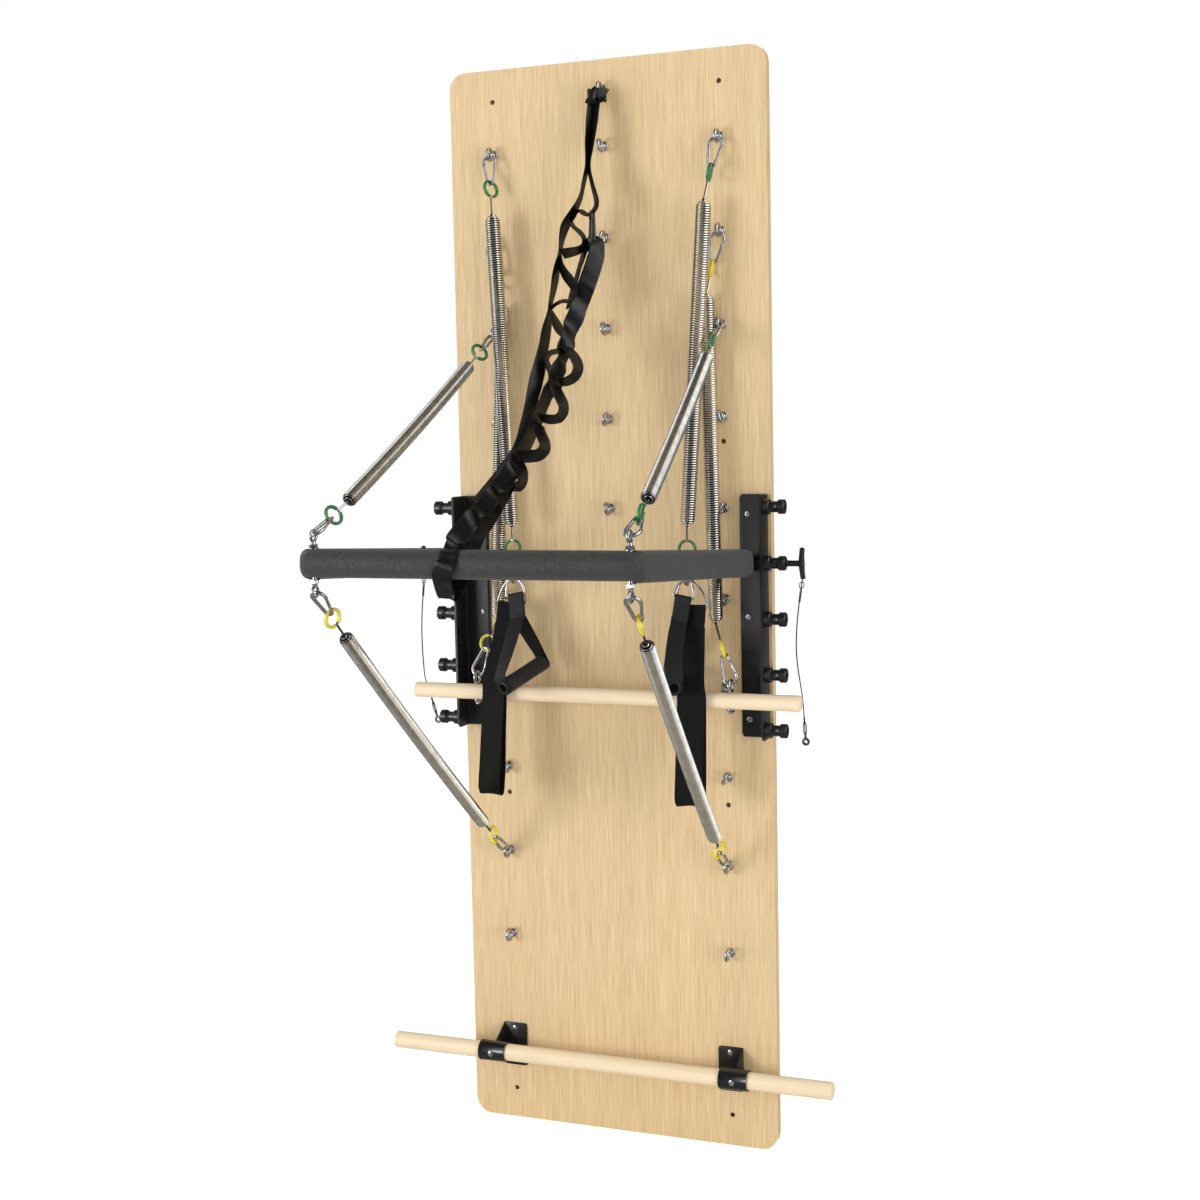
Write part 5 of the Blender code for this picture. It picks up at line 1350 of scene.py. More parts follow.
def leg_path(start, end, grip_way, radius, bow, first):
    """One leg of a stirrup handle: from the fold it bows out, turns flat against the grip's end, and rounds
    under it."""
    rise = start - end
    rise = unit(rise - grip_way * (rise @ grip_way))
    flat = np.cross(grip_way, rise)
    flat = flat if flat[0] > 0 else -flat
    knee = end + rise * (radius + 0.005)
    points = np.array([
        start, start + (knee - start) * 0.30 + bow * 0.7, start + (knee - start) * 0.66 + bow,
        knee + bow * 0.35, end + rise * 0.006, end - rise * 0.0145,
    ])
    across = np.array([first, first * 0.75 + flat * 0.25, first * 0.45 + flat * 0.55, flat, flat, flat])
    path = smooth(np.hstack([points, across]), 0.0025)
    below = (path[:, :3] - end) @ rise
    half = np.sqrt(np.clip(1 - (below / 0.0148).clip(-1, 0) ** 2, 0.02, 1))
    return path[:, :3], path[:, 3:], half, rise, flat


class SPRINGBOARD_OT_handles(bpy.types.Operator):
    """The stirrup handles: a D of wire, webbing folded round it, two legs that twist flat against the ends
    of a round foam grip, rows of stitches, rims at the grip's ends over near-black plugs of painted shade in
    its bore, and the grip as a turned tube"""

    bl_idname = "springboard.handles"
    bl_label = "Handles"
    bl_options = {"REGISTER", "UNDO"}

    def execute(self, context):
        f = finishes()
        for side, sign in SIDES.items():
            tilt = sign * HANDLE_TILT
            rise = np.array([0.0, HANDLE_RING_LEAN, HANDLE_RING_HEIGHT])
            bar = ring_bars(side)[0] + rise + rolled(-rise, tilt)
            flat_way = rolled(CROSSWISE, tilt)
            split = at(bar[0] - sign * HANDLE_SPLIT[0], *HANDLE_SPLIT[1:])
            near, far = (at(*GRIP_ENDS[side][k]) for k in (0, 1))
            along = unit(far - near)
            ring = d_loop(bar, HANDLE_RING_WIDTH, HANDLE_RING_HEIGHT, 0.0, HANDLE_RING_LEAN, tilt)
            shells = [ring, fold(bar, split, HANDLE_WEB, WEB, flat_way, finish=1)]
            shells += seam_stitches(bar, split, flat_way, (0.30, 0.42, 0.72, 0.84))
            face = unit(np.cross(flat_way, unit(split - bar)))
            start = split + UPWARD * 0.004
            rim = [
                (0.0004, 0.0086), (0, 0.0094), (0, 0.0112), (0.0005, 0.0120), (0.0030, 0.0121),
                (0.0034, 0.0086),
            ]
            # Painted shade: a near-black plug in each end of the grip's bore stands for the shade in the hole
            painted_bore_shade = [(0, 0.0086), (0.0003, 0.0088), (0.0012, 0.0088)]
            for end, way in ((near, -1), (far, 1)):
                bow = np.array([-0.0045, -0.004, 0.0]) if way < 0 and sign > 0 else np.zeros(3)
                top = start - face * way * 0.0013
                path, across, half, rise, flat = leg_path(top, end, along, GRIP_RADIUS, bow, flat_way)
                shells.append(band(path, across, HANDLE_WEB * half, WEB, finish=1))
                out = along * way
                shells.append(turned(end + out * 0.0004 + out * 0.0034, -out, rim, 40, ring=True, finish=4))
                # Painted shade: the near-black plug in the bore
                shells.append(turned(end + out * 0.0004 + out * 0.0016, -out, painted_bore_shade, 32, finish=3))
                seam = hoop(end + out * 0.0014, rise, flat, 0.0136, 44)
                shells.append(stitches(seam, out, STITCH_LENGTH, 0.0041, finish=2))
            finished = [f["plated"], f["handle_web"], f["thread"], f["recess"], f["rim"]]
            piece(
                f"stirrup_{side}", shells, finished, f"handle_{side}",
                (f"handle_strap_{side}",),
            )
            span = np.linalg.norm(far - near)
            a, b, r = 0.0020, span - 0.0020, GRIP_RADIUS
            profile = [(a, 0.0072), (a, r - 0.0014), (a + 0.0005, r - 0.0004), (a + 0.0016, r)]
            body = np.linspace(a + 0.006, b - 0.006, 14)
            profile += [(v, r + 0.0001 * math.sin(9 * v / span)) for v in body]
            profile += [(b - 0.0016, r), (b - 0.0005, r - 0.0004), (b, r - 0.0014), (b, 0.0072)]
            name, shells = f"grip_{side}", [turned(near, along, profile, 40, ring=True)]
            grip = piece(name, shells, [f["grip"]], name, (f"handle_grip_{side}",), crease=60)
        return {"FINISHED"}


class SPRINGBOARD_OT_foot_loops(bpy.types.Operator):
    """The foot loops: a D of wire, webbing folded round it and sewn down, and below the seam a flat strip
    that widens, hangs, turns on itself at the bottom and comes back up behind"""

    bl_idname = "springboard.foot_loops"
    bl_label = "Foot loops"
    bl_options = {"REGISTER", "UNDO"}

    def execute(self, context):
        f = finishes()
        for side, sign in SIDES.items():
            bar = ring_bars(side)[1]
            ring = d_loop(bar, LOOP_RING_WIDTH, LOOP_RING_HEIGHT, -sign * LOOP_RING_SHIFT, LOOP_RING_LEAN)
            bar = bar + CROSSWISE * (0.0072 if sign > 0 else -0.0100)
            across_by = CROSSWISE * (-0.0025 if sign > 0 else 0.0)
            middle = at(*LOOP_MIDDLE[side]) + (0.0, -0.002, 0.0) + across_by * 0.6
            bottom = at(*LOOP_BOTTOM[side]) + across_by
            seam, low = bar + (middle - bar) * 0.19, bar + (middle - bar) * 0.45
            drop = bottom - middle
            ease = CROSSWISE * (0.0070 if sign > 0 else -0.0010)
            turned_to = np.array([0.970, 0.240, 0.0]) if sign > 0 else np.array([0.978, -0.208, 0.0])
            narrow = 0.0 if sign > 0 else 1.0
            # Each row is a place, half the gap between the layers, the width and how far the band has turned
            stations = [
                (seam + UPWARD * 0.004 - ease * 0.3, 0.0013, 0.0330, 0.0),
                (seam - UPWARD * 0.010 - ease * 0.35, 0.0020, 0.0380, 0.0),
                (low - ease * 0.75, 0.0028, 0.0465 - 0.0065 * narrow, 0.2),
                (middle + UPWARD * 0.035 - ease * 0.3, 0.0036, 0.0490 - 0.005 * narrow, 0.5),
                (middle, 0.0050, FOOT_WEB, 0.8),
                (middle + drop * 0.35, 0.0080, FOOT_WEB, 1.0),
                (middle + drop * 0.72, 0.0110, FOOT_WEB, 1.0),
                (bottom + UPWARD * 0.014, 0.0115, FOOT_WEB, 1.0),
                (bottom + UPWARD * 0.004, 0.0080, FOOT_WEB, 1.0),
            ]
            line = []
            for way, rows in ((-1, stations), (1, stations[::-1])):
                for place, gap, width, share in rows:
                    across = CROSSWISE * (1 - share) + turned_to * share
                    line.append([*(place + np.array([0.0, way * gap, 0.0])), width, *across])
                if way < 0:
                    line.append([*(bottom - UPWARD * 0.0022), FOOT_WEB, *turned_to])
            rows = smooth(np.array(line), 0.004)
            shells = [ring, fold(bar, seam, FOOT_WEB_TOP, WEB, finish=1)]
            shells.append(band(rows[:, :3], rows[:, 4:], rows[:, 3], WEB, finish=1, crown=0.0006))
            shells += seam_stitches(bar, seam, CROSSWISE, (0.42, 0.56, 0.78, 0.92))
            finished = [f["plated"], f["loop_web"], f["thread"]]
            piece(
                f"loop_{side}", shells, finished, f"handle_spring_{side}",
                (f"foot_loop_{side}",),
            )
        return {"FINISHED"}


class SPRINGBOARD_OT_roll_down_bar(bpy.types.Operator):
    """The roll-down bar: a turned dowel with eased ends, and eye bolts through it with a collar above and a
    nut below"""

    bl_idname = "springboard.roll_down_bar"
    bl_label = "Roll-down bar"
    bl_options = {"REGISTER", "UNDO"}

    def execute(self, context):
        f = finishes()
        rod = dowel(0.0, ROLL_LENGTH, ROLL_RADIUS, ROLL_REACH, ROLL_Z)
        piece("roll_dowel", [rod], [f["dowel"]], "roll_down", ("roll_down_bar",))
        shank = [(0, 0.0030), (0.0006, 0.0038), (0.0405, 0.0038)]
        collar = [(-0.0004, 0.0060), (0.0004, 0.0064), (0.0020, 0.0064), (0.0030, 0.0046), (0.0036, 0.0040)]
        washer = [(-0.0006, 0.0072), (0.0, 0.0076), (0.0008, 0.0076), (0.0010, 0.0066)]
        nut = [(0, 0.0058), (0.0005, 0.0066), (0.0038, 0.0066), (0.0044, 0.0058)]
        for side in SIDES:
            centre = roll_eye_centre(side)
            top = centre - UPWARD * (ROLL_EYE_OUT - 0.0003)
            low = centre - UPWARD * (ROLL_EYE_OUT + 2 * ROLL_RADIUS + 0.0003)
            shells = [
                tube(hoop(centre, OUTWARD, UPWARD, EYE_RADIUS), EYE_WIRE, 12, ring=True, up=CROSSWISE),
                turned(centre - UPWARD * 0.0505, UPWARD, shank, 20),
                turned(top, UPWARD, collar, 28),
                turned(low, -UPWARD, washer, 32),
                turned(low - UPWARD * 0.0010, -UPWARD, nut, 6),
            ]
            piece(
                f"roll_eye_{side}", shells, [f["plated"]], "roll_down",
                (f"roll_down_eye_{side}",),
            )
        return {"FINISHED"}


def dowel(middle, length, radius, reach, z):
    """A round bar: a straight profile with eased ends, turned about the x axis."""
    ease = np.array([0.0, 0.0003, 0.0009, 0.0018, 0.0030])
    rim = radius - 0.0030 + np.sqrt(np.maximum(0.0030**2 - (0.0030 - ease) ** 2, 0))
    body = np.linspace(0.006, length - 0.006, 60)
    stations = [*zip(ease, rim), *((v, radius) for v in body), *zip(length - ease[::-1], rim[::-1])]
    return turned(at(middle - length / 2, reach, z), (1, 0, 0), stations, 40)


class SPRINGBOARD_OT_foot_bar(bpy.types.Operator):
    """The foot bar: a turned dowel, held at each side by a wall plate, a gusset and a turned sleeve with
    flared rims"""

    bl_idname = "springboard.foot_bar"
    bl_label = "Foot bar"
    bl_options = {"REGISTER", "UNDO"}

    def execute(self, context):
        f = finishes()
        rod = dowel(FOOT_SHIFT, FOOT_LENGTH, FOOT_RADIUS, FOOT_REACH, FOOT_Z)
        piece("foot_dowel", [rod], [f["dowel"]], "wall_panel", ("foot_bar",))
        inner, outer = FOOT_RADIUS + 0.0003, FOOT_RADIUS + 0.0003 + PLATE_WALL
        for side, sign in SIDES.items():
            clamp_x = sign * (PLATE_OUT - PLATE_WALL / 2)
            on_plate = at(sign * (PLATE_IN + PLATE_OUT) / 2, 0.0032, PLATE_SCREW_Z)
            corners = [
                (PLATE_IN, PLATE_LOW), (PLATE_OUT, PLATE_LOW), (PLATE_OUT, PLATE_TOP),
                (PLATE_IN, PLATE_TOP),
            ]
            outline = round_corners([at(sign * x, 0, z) for x, z in corners], 0.006)
            gusset = [(0.0003, PLATE_TOP), (0.0003, PLATE_LOW)]
            gusset += [(GUSSET_DEEP, FOOT_Z - inner - 0.0015), (GUSSET_DEEP, FOOT_Z + inner + 0.0015)]
            web = round_corners([at(sign * PLATE_OUT, d, z) for d, z in gusset], 0.0012, 2)
            w = CLAMP_WIDTH
            flare = [(0, 0.0002), (0.0004, 0.0005), (0.0012, 0.0004), (0.0026, 0.0)]
            sleeve = [(0, inner), *((v, outer + rise) for v, rise in flare), (w / 2, outer)]
            sleeve += [*((w - v, outer + rise) for v, rise in flare[::-1]), (w, inner), (w / 2, inner)]
            shells = [
                slab(outline, OUTWARD, 0.0003, 0.0003 + PLATE_WALL),
                slab(web, (sign, 0, 0), -PLATE_WALL, 0.0),
                turned(at(clamp_x - w / 2, FOOT_REACH, FOOT_Z), (1, 0, 0), sleeve, 56, ring=True, finish=1),
                screw(on_plate, OUTWARD, turn=0.8 + sign, finish=2),
                screw(at(clamp_x, FOOT_REACH + outer - 0.0004, FOOT_Z), OUTWARD, turn=0.4 - sign, finish=2),
            ]
            finished = [f["bracket"], f["clamp"], f["screw"]]
            piece(
                f"foot_bracket_{side}", shells, finished, "wall_panel",
                (f"foot_bar_bracket_{side}",),
            )
        return {"FINISHED"}


# The safety strap's strands: width, and rows of place (x, ahead, z) and direction across (x, ahead, z)
STRANDS = {
    "left_strand": (0.026, (
        (-0.0063, 0.0275, 0.9238, -0.47, 0.87, 0.15), (-0.0064, 0.0333, 0.9053, -0.56, 0.81, 0.15),
        (-0.0065, 0.0388, 0.8869, -0.56, 0.81, 0.16), (-0.0075, 0.0446, 0.865, -0.37, 0.91, 0.16),
        (-0.0084, 0.0509, 0.8413, -0.20, 0.97, 0.14), (-0.0083, 0.0573, 0.8176, 0.03, 0.99, 0.12),
        (-0.0087, 0.0621, 0.7994, 0.14, 0.98, 0.13), (-0.0111, 0.0642, 0.7853, 0.14, 0.98, 0.14),
        (-0.0143, 0.0667, 0.7694, 0.17, 0.98, 0.14), (-0.017, 0.0705, 0.7515, 0.18, 0.97, 0.15),
        (-0.0227, 0.074, 0.7357, 0.12, 0.97, 0.22), (-0.0339, 0.0782, 0.7166, -0.00, 0.96, 0.29),
        (-0.0442, 0.0825, 0.6974, -0.17, 0.94, 0.30), (-0.0489, 0.0864, 0.6797, -0.04, 0.98, 0.18),
        (-0.0506, 0.0903, 0.6618, 0.14, 0.98, 0.13), (-0.0517, 0.0954, 0.6438, 0.21, 0.97, 0.12),
        (-0.0539, 0.1005, 0.6259, 0.03, 0.99, 0.15), (-0.0557, 0.1066, 0.6043, -0.08, 0.98, 0.16),
        (-0.0575, 0.1127, 0.5828, 0.03, 0.99, 0.16), (-0.0603, 0.1188, 0.5614, 0.14, 0.98, 0.13),
        (-0.0608, 0.1239, 0.5436, 0.14, 0.98, 0.12), (-0.0616, 0.129, 0.5257, -0.08, 0.98, 0.17),
        (-0.0617, 0.1412, 0.504, -0.27, 0.94, 0.20), (-0.0603, 0.1546, 0.4824, -0.27, 0.94, 0.20),
        (-0.0598, 0.168, 0.4609, -0.43, 0.87, 0.23), (-0.0593, 0.1814, 0.4396, -0.62, 0.74, 0.26),
        (-0.0597, 0.1948, 0.4184, -0.73, 0.63, 0.28), (-0.0601, 0.2082, 0.3974, -0.60, 0.74, 0.31),
        (-0.0623, 0.2216, 0.3766, -0.54, 0.78, 0.33), (-0.0603, 0.2443, 0.3557, -0.57, 0.74, 0.36),
        (-0.0587, 0.2702, 0.3352, -0.55, 0.74, 0.39), (-0.0569, 0.2961, 0.315, -0.52, 0.74, 0.43),
        (-0.0577, 0.322, 0.2951, -0.58, 0.63, 0.52), (-0.0611, 0.348, 0.2755, -0.77, 0.25, 0.59),
        (-0.0661, 0.3739, 0.2563, -0.74, 0.23, 0.63), (-0.0666, 0.4147, 0.2362, -0.73, 0.23, 0.65),
        (-0.067, 0.4527, 0.2181, -0.72, 0.22, 0.65),
    )),
    "loop_strand": (0.026, (
        (0.0014, 0.0325, 0.9223, -0.82, -0.57, -0.02), (0.0019, 0.0396, 0.9001, -0.72, -0.69, -0.04),
        (0.0011, 0.0462, 0.8763, -0.72, -0.70, -0.03), (-0.0009, 0.0525, 0.8492, -0.66, -0.75, -0.03),
        (-0.0023, 0.0583, 0.8275, -0.61, -0.79, -0.05), (-0.0034, 0.0622, 0.8095, -0.52, -0.85, -0.08),
        (-0.0025, 0.0659, 0.795, -0.52, -0.85, -0.10), (0.001, 0.069, 0.7803, -0.52, -0.85, -0.12),
        (0.0062, 0.0724, 0.7637, -0.55, -0.83, -0.14), (0.012, 0.0759, 0.7472, -0.57, -0.81, -0.14),
        (0.0149, 0.0786, 0.7344, -0.64, -0.77, -0.07), (0.0126, 0.0809, 0.7239, -0.68, -0.73, 0.11),
        (0.005, 0.0817, 0.7164, -0.54, -0.79, 0.31), (-0.0049, 0.0809, 0.7162, -0.27, -0.91, 0.32),
        (-0.0158, 0.0799, 0.7214, -0.34, -0.88, 0.33), (-0.0261, 0.0809, 0.7176, -0.64, -0.72, 0.27),
        (-0.0343, 0.0826, 0.7056, -0.66, -0.74, 0.14),
    )),
    "chain_1": (0.026, (
        (-0.0342, 0.0828, 0.7091, 0.19, 0.98, 0.01), (-0.0271, 0.0865, 0.696, 0.06, 0.99, -0.12),
        (-0.0134, 0.09, 0.6834, 0.04, 0.99, -0.16), (-0.0035, 0.0939, 0.6693, 0.04, 1.00, 0.01),
        (-0.0046, 0.0965, 0.6577, 0.11, 0.96, 0.26), (-0.015, 0.0975, 0.6516, 0.19, 0.88, 0.43),
        (-0.0304, 0.0976, 0.6486, 0.22, 0.81, 0.54), (-0.046, 0.0974, 0.6468, 0.21, 0.76, 0.62),
    )),
    "chain_2": (0.026, (
        (-0.0493, 0.0989, 0.6416, -0.55, -0.83, -0.11), (-0.0454, 0.1045, 0.6251, -0.65, -0.74, -0.18),
        (-0.0359, 0.1095, 0.6101, -0.70, -0.64, -0.33), (-0.0238, 0.1141, 0.5969, -0.72, -0.58, -0.38),
        (-0.015, 0.1174, 0.5848, -0.74, -0.63, -0.23), (-0.0129, 0.1207, 0.5731, -0.65, -0.76, 0.03),
        (-0.0219, 0.1229, 0.5624, -0.51, -0.83, 0.21), (-0.0374, 0.1227, 0.5607, -0.45, -0.85, 0.27),
        (-0.0498, 0.1232, 0.556, -0.54, -0.82, 0.21), (-0.0568, 0.1254, 0.5486, -0.52, -0.85, 0.08),
    )),
    "chain_3": (0.026, (
        (-0.0578, 0.1254, 0.5486, 0.18, 0.98, 0.02), (-0.0477, 0.132, 0.5285, -0.15, 0.98, -0.13),
        (-0.0344, 0.1417, 0.5099, -0.20, 0.96, -0.21), (-0.021, 0.1517, 0.495, -0.17, 0.98, -0.07),
        (-0.0176, 0.1606, 0.4806, 0.07, 0.97, 0.25), (-0.0292, 0.1652, 0.4721, 0.27, 0.92, 0.28),
        (-0.0421, 0.1664, 0.4691, 0.24, 0.93, 0.28), (-0.0471, 0.171, 0.4604, 0.11, 0.99, 0.12),
        (-0.0389, 0.182, 0.4441, 0.05, 1.00, -0.01), (-0.027, 0.1931, 0.4279, -0.08, 0.99, -0.08),
        (-0.0156, 0.2052, 0.41, -0.15, 0.98, -0.09),
    )),
    "wide_band": (0.032, (
        (-0.0007, 0.0853, 0.6488, 0.73, 0.68, -0.04), (0.0039, 0.0841, 0.6645, 0.73, 0.55, -0.40),
        (0.0182, 0.0911, 0.663, -0.25, 0.89, -0.39), (0.0217, 0.0968, 0.6483, -0.56, 0.82, 0.12),
        (0.0195, 0.1009, 0.6341, -0.72, 0.63, 0.29), (0.0155, 0.106, 0.6165, -0.77, 0.55, 0.34),
        (0.0101, 0.1116, 0.5971, -0.84, 0.41, 0.35), (0.004, 0.1177, 0.576, -0.83, 0.41, 0.37),
        (-0.0025, 0.1238, 0.555, -0.83, 0.42, 0.37), (-0.0087, 0.1299, 0.5339, -0.70, 0.62, 0.37),
        (-0.0142, 0.1385, 0.5128, -0.61, 0.72, 0.34), (-0.0158, 0.1519, 0.4913, -0.46, 0.84, 0.28),
        (-0.0163, 0.1641, 0.4734, -0.42, 0.87, 0.28), (-0.0177, 0.1752, 0.4558, -0.33, 0.89, 0.31),
        (-0.0206, 0.1874, 0.4382, -0.28, 0.90, 0.34), (-0.0248, 0.1985, 0.4208, -0.28, 0.90, 0.35),
        (-0.0289, 0.2097, 0.4034, -0.22, 0.92, 0.31), (-0.0315, 0.2209, 0.3861, -0.16, 0.95, 0.28),
        (-0.0334, 0.234, 0.3689, -0.10, 0.96, 0.27), (-0.0319, 0.2556, 0.3517, -0.04, 0.97, 0.26),
        (-0.0313, 0.2772, 0.3347, -0.03, 0.97, 0.26), (-0.0296, 0.2988, 0.3179, -0.02, 0.96, 0.27),
        (-0.0305, 0.3204, 0.3014, -0.11, 0.93, 0.36), (-0.0341, 0.3442, 0.2835, -0.20, 0.88, 0.43),
    )),
    "behind_band": (0.026, (
        (-0.0044, 0.0853, 0.6561, -0.70, -0.71, 0.05), (-0.0089, 0.0919, 0.6364, -0.68, -0.74, 0.04),
        (-0.0128, 0.0975, 0.6204, -0.65, -0.76, 0.02), (-0.0161, 0.1021, 0.6044, -0.65, -0.76, 0.01),
        (-0.0197, 0.1082, 0.5866, -0.71, -0.71, 0.03), (-0.0229, 0.1133, 0.5688, -0.71, -0.70, -0.00),
        (-0.0234, 0.1199, 0.5492, -0.81, -0.58, 0.01),
    )),
    "ear_1": (0.026, (
        (-0.0149, 0.1627, 0.4787, 0.08, 0.98, -0.19), (-0.0005, 0.1704, 0.4675, -0.08, 0.97, -0.23),
        (0.0117, 0.1803, 0.4529, -0.30, 0.94, -0.15), (0.0183, 0.1903, 0.4386, -0.30, 0.94, 0.16),
        (0.0151, 0.1992, 0.4247, -0.13, 0.87, 0.48), (0.0025, 0.2032, 0.4173, 0.17, 0.81, 0.56),
        (-0.0127, 0.2028, 0.4169, 0.30, 0.80, 0.51),
    )),
    "ear_2": (0.026, (
        (-0.0189, 0.2061, 0.4118, -0.15, 0.98, -0.10), (-0.0081, 0.2172, 0.3959, -0.29, 0.94, -0.17),
        (0.0037, 0.2282, 0.38, -0.31, 0.95, -0.09), (0.0093, 0.2401, 0.3661, -0.23, 0.94, 0.25),
        (0.0062, 0.2554, 0.3534, 0.06, 0.84, 0.53), (-0.0102, 0.2561, 0.3524, 0.33, 0.75, 0.57),
        (-0.0277, 0.2523, 0.355, 0.39, 0.79, 0.47),
    )),
    "ear_3": (0.026, (
        (-0.026, 0.2652, 0.3447, -0.09, 1.00, -0.02), (-0.0147, 0.2835, 0.331, -0.15, 0.99, -0.07),
        (-0.0011, 0.3028, 0.3174, -0.22, 0.97, -0.05), (0.0083, 0.3211, 0.3041, -0.29, 0.92, 0.27),
        (0.0046, 0.3362, 0.2928, -0.08, 0.69, 0.72), (-0.0129, 0.338, 0.2909, 0.15, 0.55, 0.82),
        (-0.031, 0.3385, 0.29, 0.20, 0.60, 0.77),
    )),
    "ear_4": (0.026, (
        (-0.0304, 0.3483, 0.2818, -0.25, 0.95, -0.20), (-0.0153, 0.3666, 0.2688, -0.25, 0.97, -0.07),
        (-0.0053, 0.3877, 0.2545, -0.25, 0.94, 0.21), (-0.0022, 0.4112, 0.2437, 0.16, 0.86, 0.49),
        (-0.0196, 0.4022, 0.2468, 0.43, 0.70, 0.56),
    )),
    "bar_loop": (0.032, (
        (-0.0281, 0.358, 0.2754, -0.26, 0.85, 0.45), (-0.0301, 0.3784, 0.261, -0.69, 0.42, 0.60),
        (-0.0301, 0.407, 0.2463, -0.75, 0.24, 0.61), (-0.0283, 0.4427, 0.2304, -0.75, 0.24, 0.62),
        (-0.0256, 0.4777, 0.2158, -0.74, 0.23, 0.63), (-0.0243, 0.5093, 0.2028, -0.70, 0.21, 0.69),
        (-0.0257, 0.538, 0.1909, -0.68, 0.20, 0.71), (-0.0294, 0.5617, 0.178, -0.63, 0.41, 0.66),
        (-0.0307, 0.5844, 0.1646, -0.55, 0.58, 0.60), (-0.0307, 0.608, 0.1507, 0.93, -0.05, -0.35),
        (-0.023, 0.636, 0.1411, 0.93, -0.12, -0.35), (-0.0228, 0.6455, 0.1304, 0.95, -0.10, -0.30),
        (-0.028, 0.64, 0.1177, 0.97, 0.00, -0.20), (-0.0336, 0.628, 0.1044, 0.98, 0.00, -0.15),
        (-0.0342, 0.622, 0.09, 0.98, 0.00, -0.15), (-0.0324, 0.616, 0.0786, 0.98, 0.00, -0.15),
        (-0.0281, 0.609, 0.0804, 0.98, 0.00, -0.15), (-0.0246, 0.603, 0.0931, 0.98, 0.00, -0.20),
        (-0.0235, 0.592, 0.1092, 0.97, 0.00, -0.20), (-0.0188, 0.5865, 0.1259, 0.95, 0.00, -0.30),
        (-0.0128, 0.5855, 0.1415, 0.93, 0.00, -0.35), (-0.0059, 0.583, 0.1553, 0.93, 0.00, -0.35),
        (-0.0045, 0.5673, 0.1683, 0.81, 0.50, -0.31), (-0.0053, 0.5412, 0.1824, 0.84, 0.43, -0.34),
        (-0.0086, 0.5113, 0.1966, 0.85, 0.42, -0.32), (-0.0145, 0.4773, 0.2109, 0.88, 0.33, -0.35),
        (-0.0196, 0.4425, 0.2263, 0.88, 0.32, -0.35), (-0.0254, 0.4077, 0.2422, 0.89, 0.30, -0.34),
    )),
}
STRAP_BEND = ((0.0, -0.13, 0.60), (0.0, -0.52, 0.19))
STRAP_WEB, STRAP_ROOM, STRAP_NEAR, STRAP_EASE = 0.0016, 0.0013, 0.0340, 0.0080

# Waves along a strand: height, length, where they start and end, and how far the band rocks
WAVES = {"wide_band": (0.0026, 0.054, 0.10, 0.34, 0.26), "bar_loop": (0.0088, 0.092, 0.0, 0.27, 0.60)}


def strand(name):
    """One traced stretch of webbing: a smooth path with its across direction, kept continuous and square.
    Waves push it to and fro along its face, and near the bar it is pushed out to lie on the foam."""
    width, rows = STRANDS[name]
    rows = np.array(rows, float)
    points = np.stack([rows[:, 0], -(BOARD_THICKNESS + rows[:, 1]), rows[:, 2]], axis=1)
    across = np.stack([rows[:, 3], -rows[:, 4], rows[:, 5]], axis=1)
    flips = np.where((across[1:] * across[:-1]).sum(axis=1) < 0, -1.0, 1.0)
    across[1:] *= np.cumprod(flips)[:, None]
    if name == "left_strand":
        points[:, 0] += 0.016 * np.clip((0.40 - points[:, 2]) / 0.10, 0, 1)
    if name == "bar_loop":
        lift = np.clip((points[:, 2] - 0.150) / 0.02, 0, 1) * (np.arange(len(points)) < 12)
        points += lift[:, None] * np.array([0.0060, -0.0150, 0.0020])
        points[8:14, 0] += (0.0040, 0.0060, 0.0050, 0.0025, 0.0, -0.0010)
    path = smooth(np.hstack([points, across]), 0.003)
    path, across = path[:, :3], path[:, 3:]
    if name in WAVES:
        height, length, first, last, tilt = WAVES[name]
        walked = walked_along(path)
        along = headings(path, False)
        side = square_to(across, along)
        face = np.cross(side, along)
        hold = np.clip((walked - first) / 0.02, 0, 1) * np.clip((last - walked) / 0.02, 0, 1)
        wave = hold * np.sin(2 * math.pi * (walked - first) / length)
        path = path + face * (height * wave)[:, None]
        across = side + face * (tilt * hold * np.cos(2 * math.pi * (walked - first) / length))[:, None]
    middle = np.array([-(BOARD_THICKNESS + BAR_REACH), BAR_Z + PAD_RAISED])
    out = path[:, 1:] - middle
    gap = np.linalg.norm(out, axis=1, keepdims=True)
    room = np.maximum(gap, PAD_FRONT + STRAP_ROOM)
    out = out / gap
    path[:, 1:] = middle + out * room
    lying = np.clip((STRAP_NEAR - gap) / STRAP_EASE, 0, 1)
    across[:, 1:] -= lying * out * (across[:, 1:] * out).sum(axis=1, keepdims=True)
    return path, across, width


class SPRINGBOARD_OT_safety_strap(bpy.types.Operator):
    """The safety strap: flat strips with round selvages carried along the traced strands, chained on
    themselves, with the hitch at the top eye as three crossing bands."""

    bl_idname = "springboard.safety_strap"
    bl_label = "Safety strap"
    bl_options = {"REGISTER", "UNDO"}

    def execute(self, context):
        f = finishes()
        shells = []
        for name in STRANDS:
            path, across, width = strand(name)
            shells.append(band(path, across, width, STRAP_WEB, crown=0.0004))
        bodies = ("wall_panel", "push_bar", *STRAP_BEND)
        piece("strap_webbing", shells + hitch(), [f["strap_web"]], bodies, ("safety_strap",))
        return {"FINISHED"}


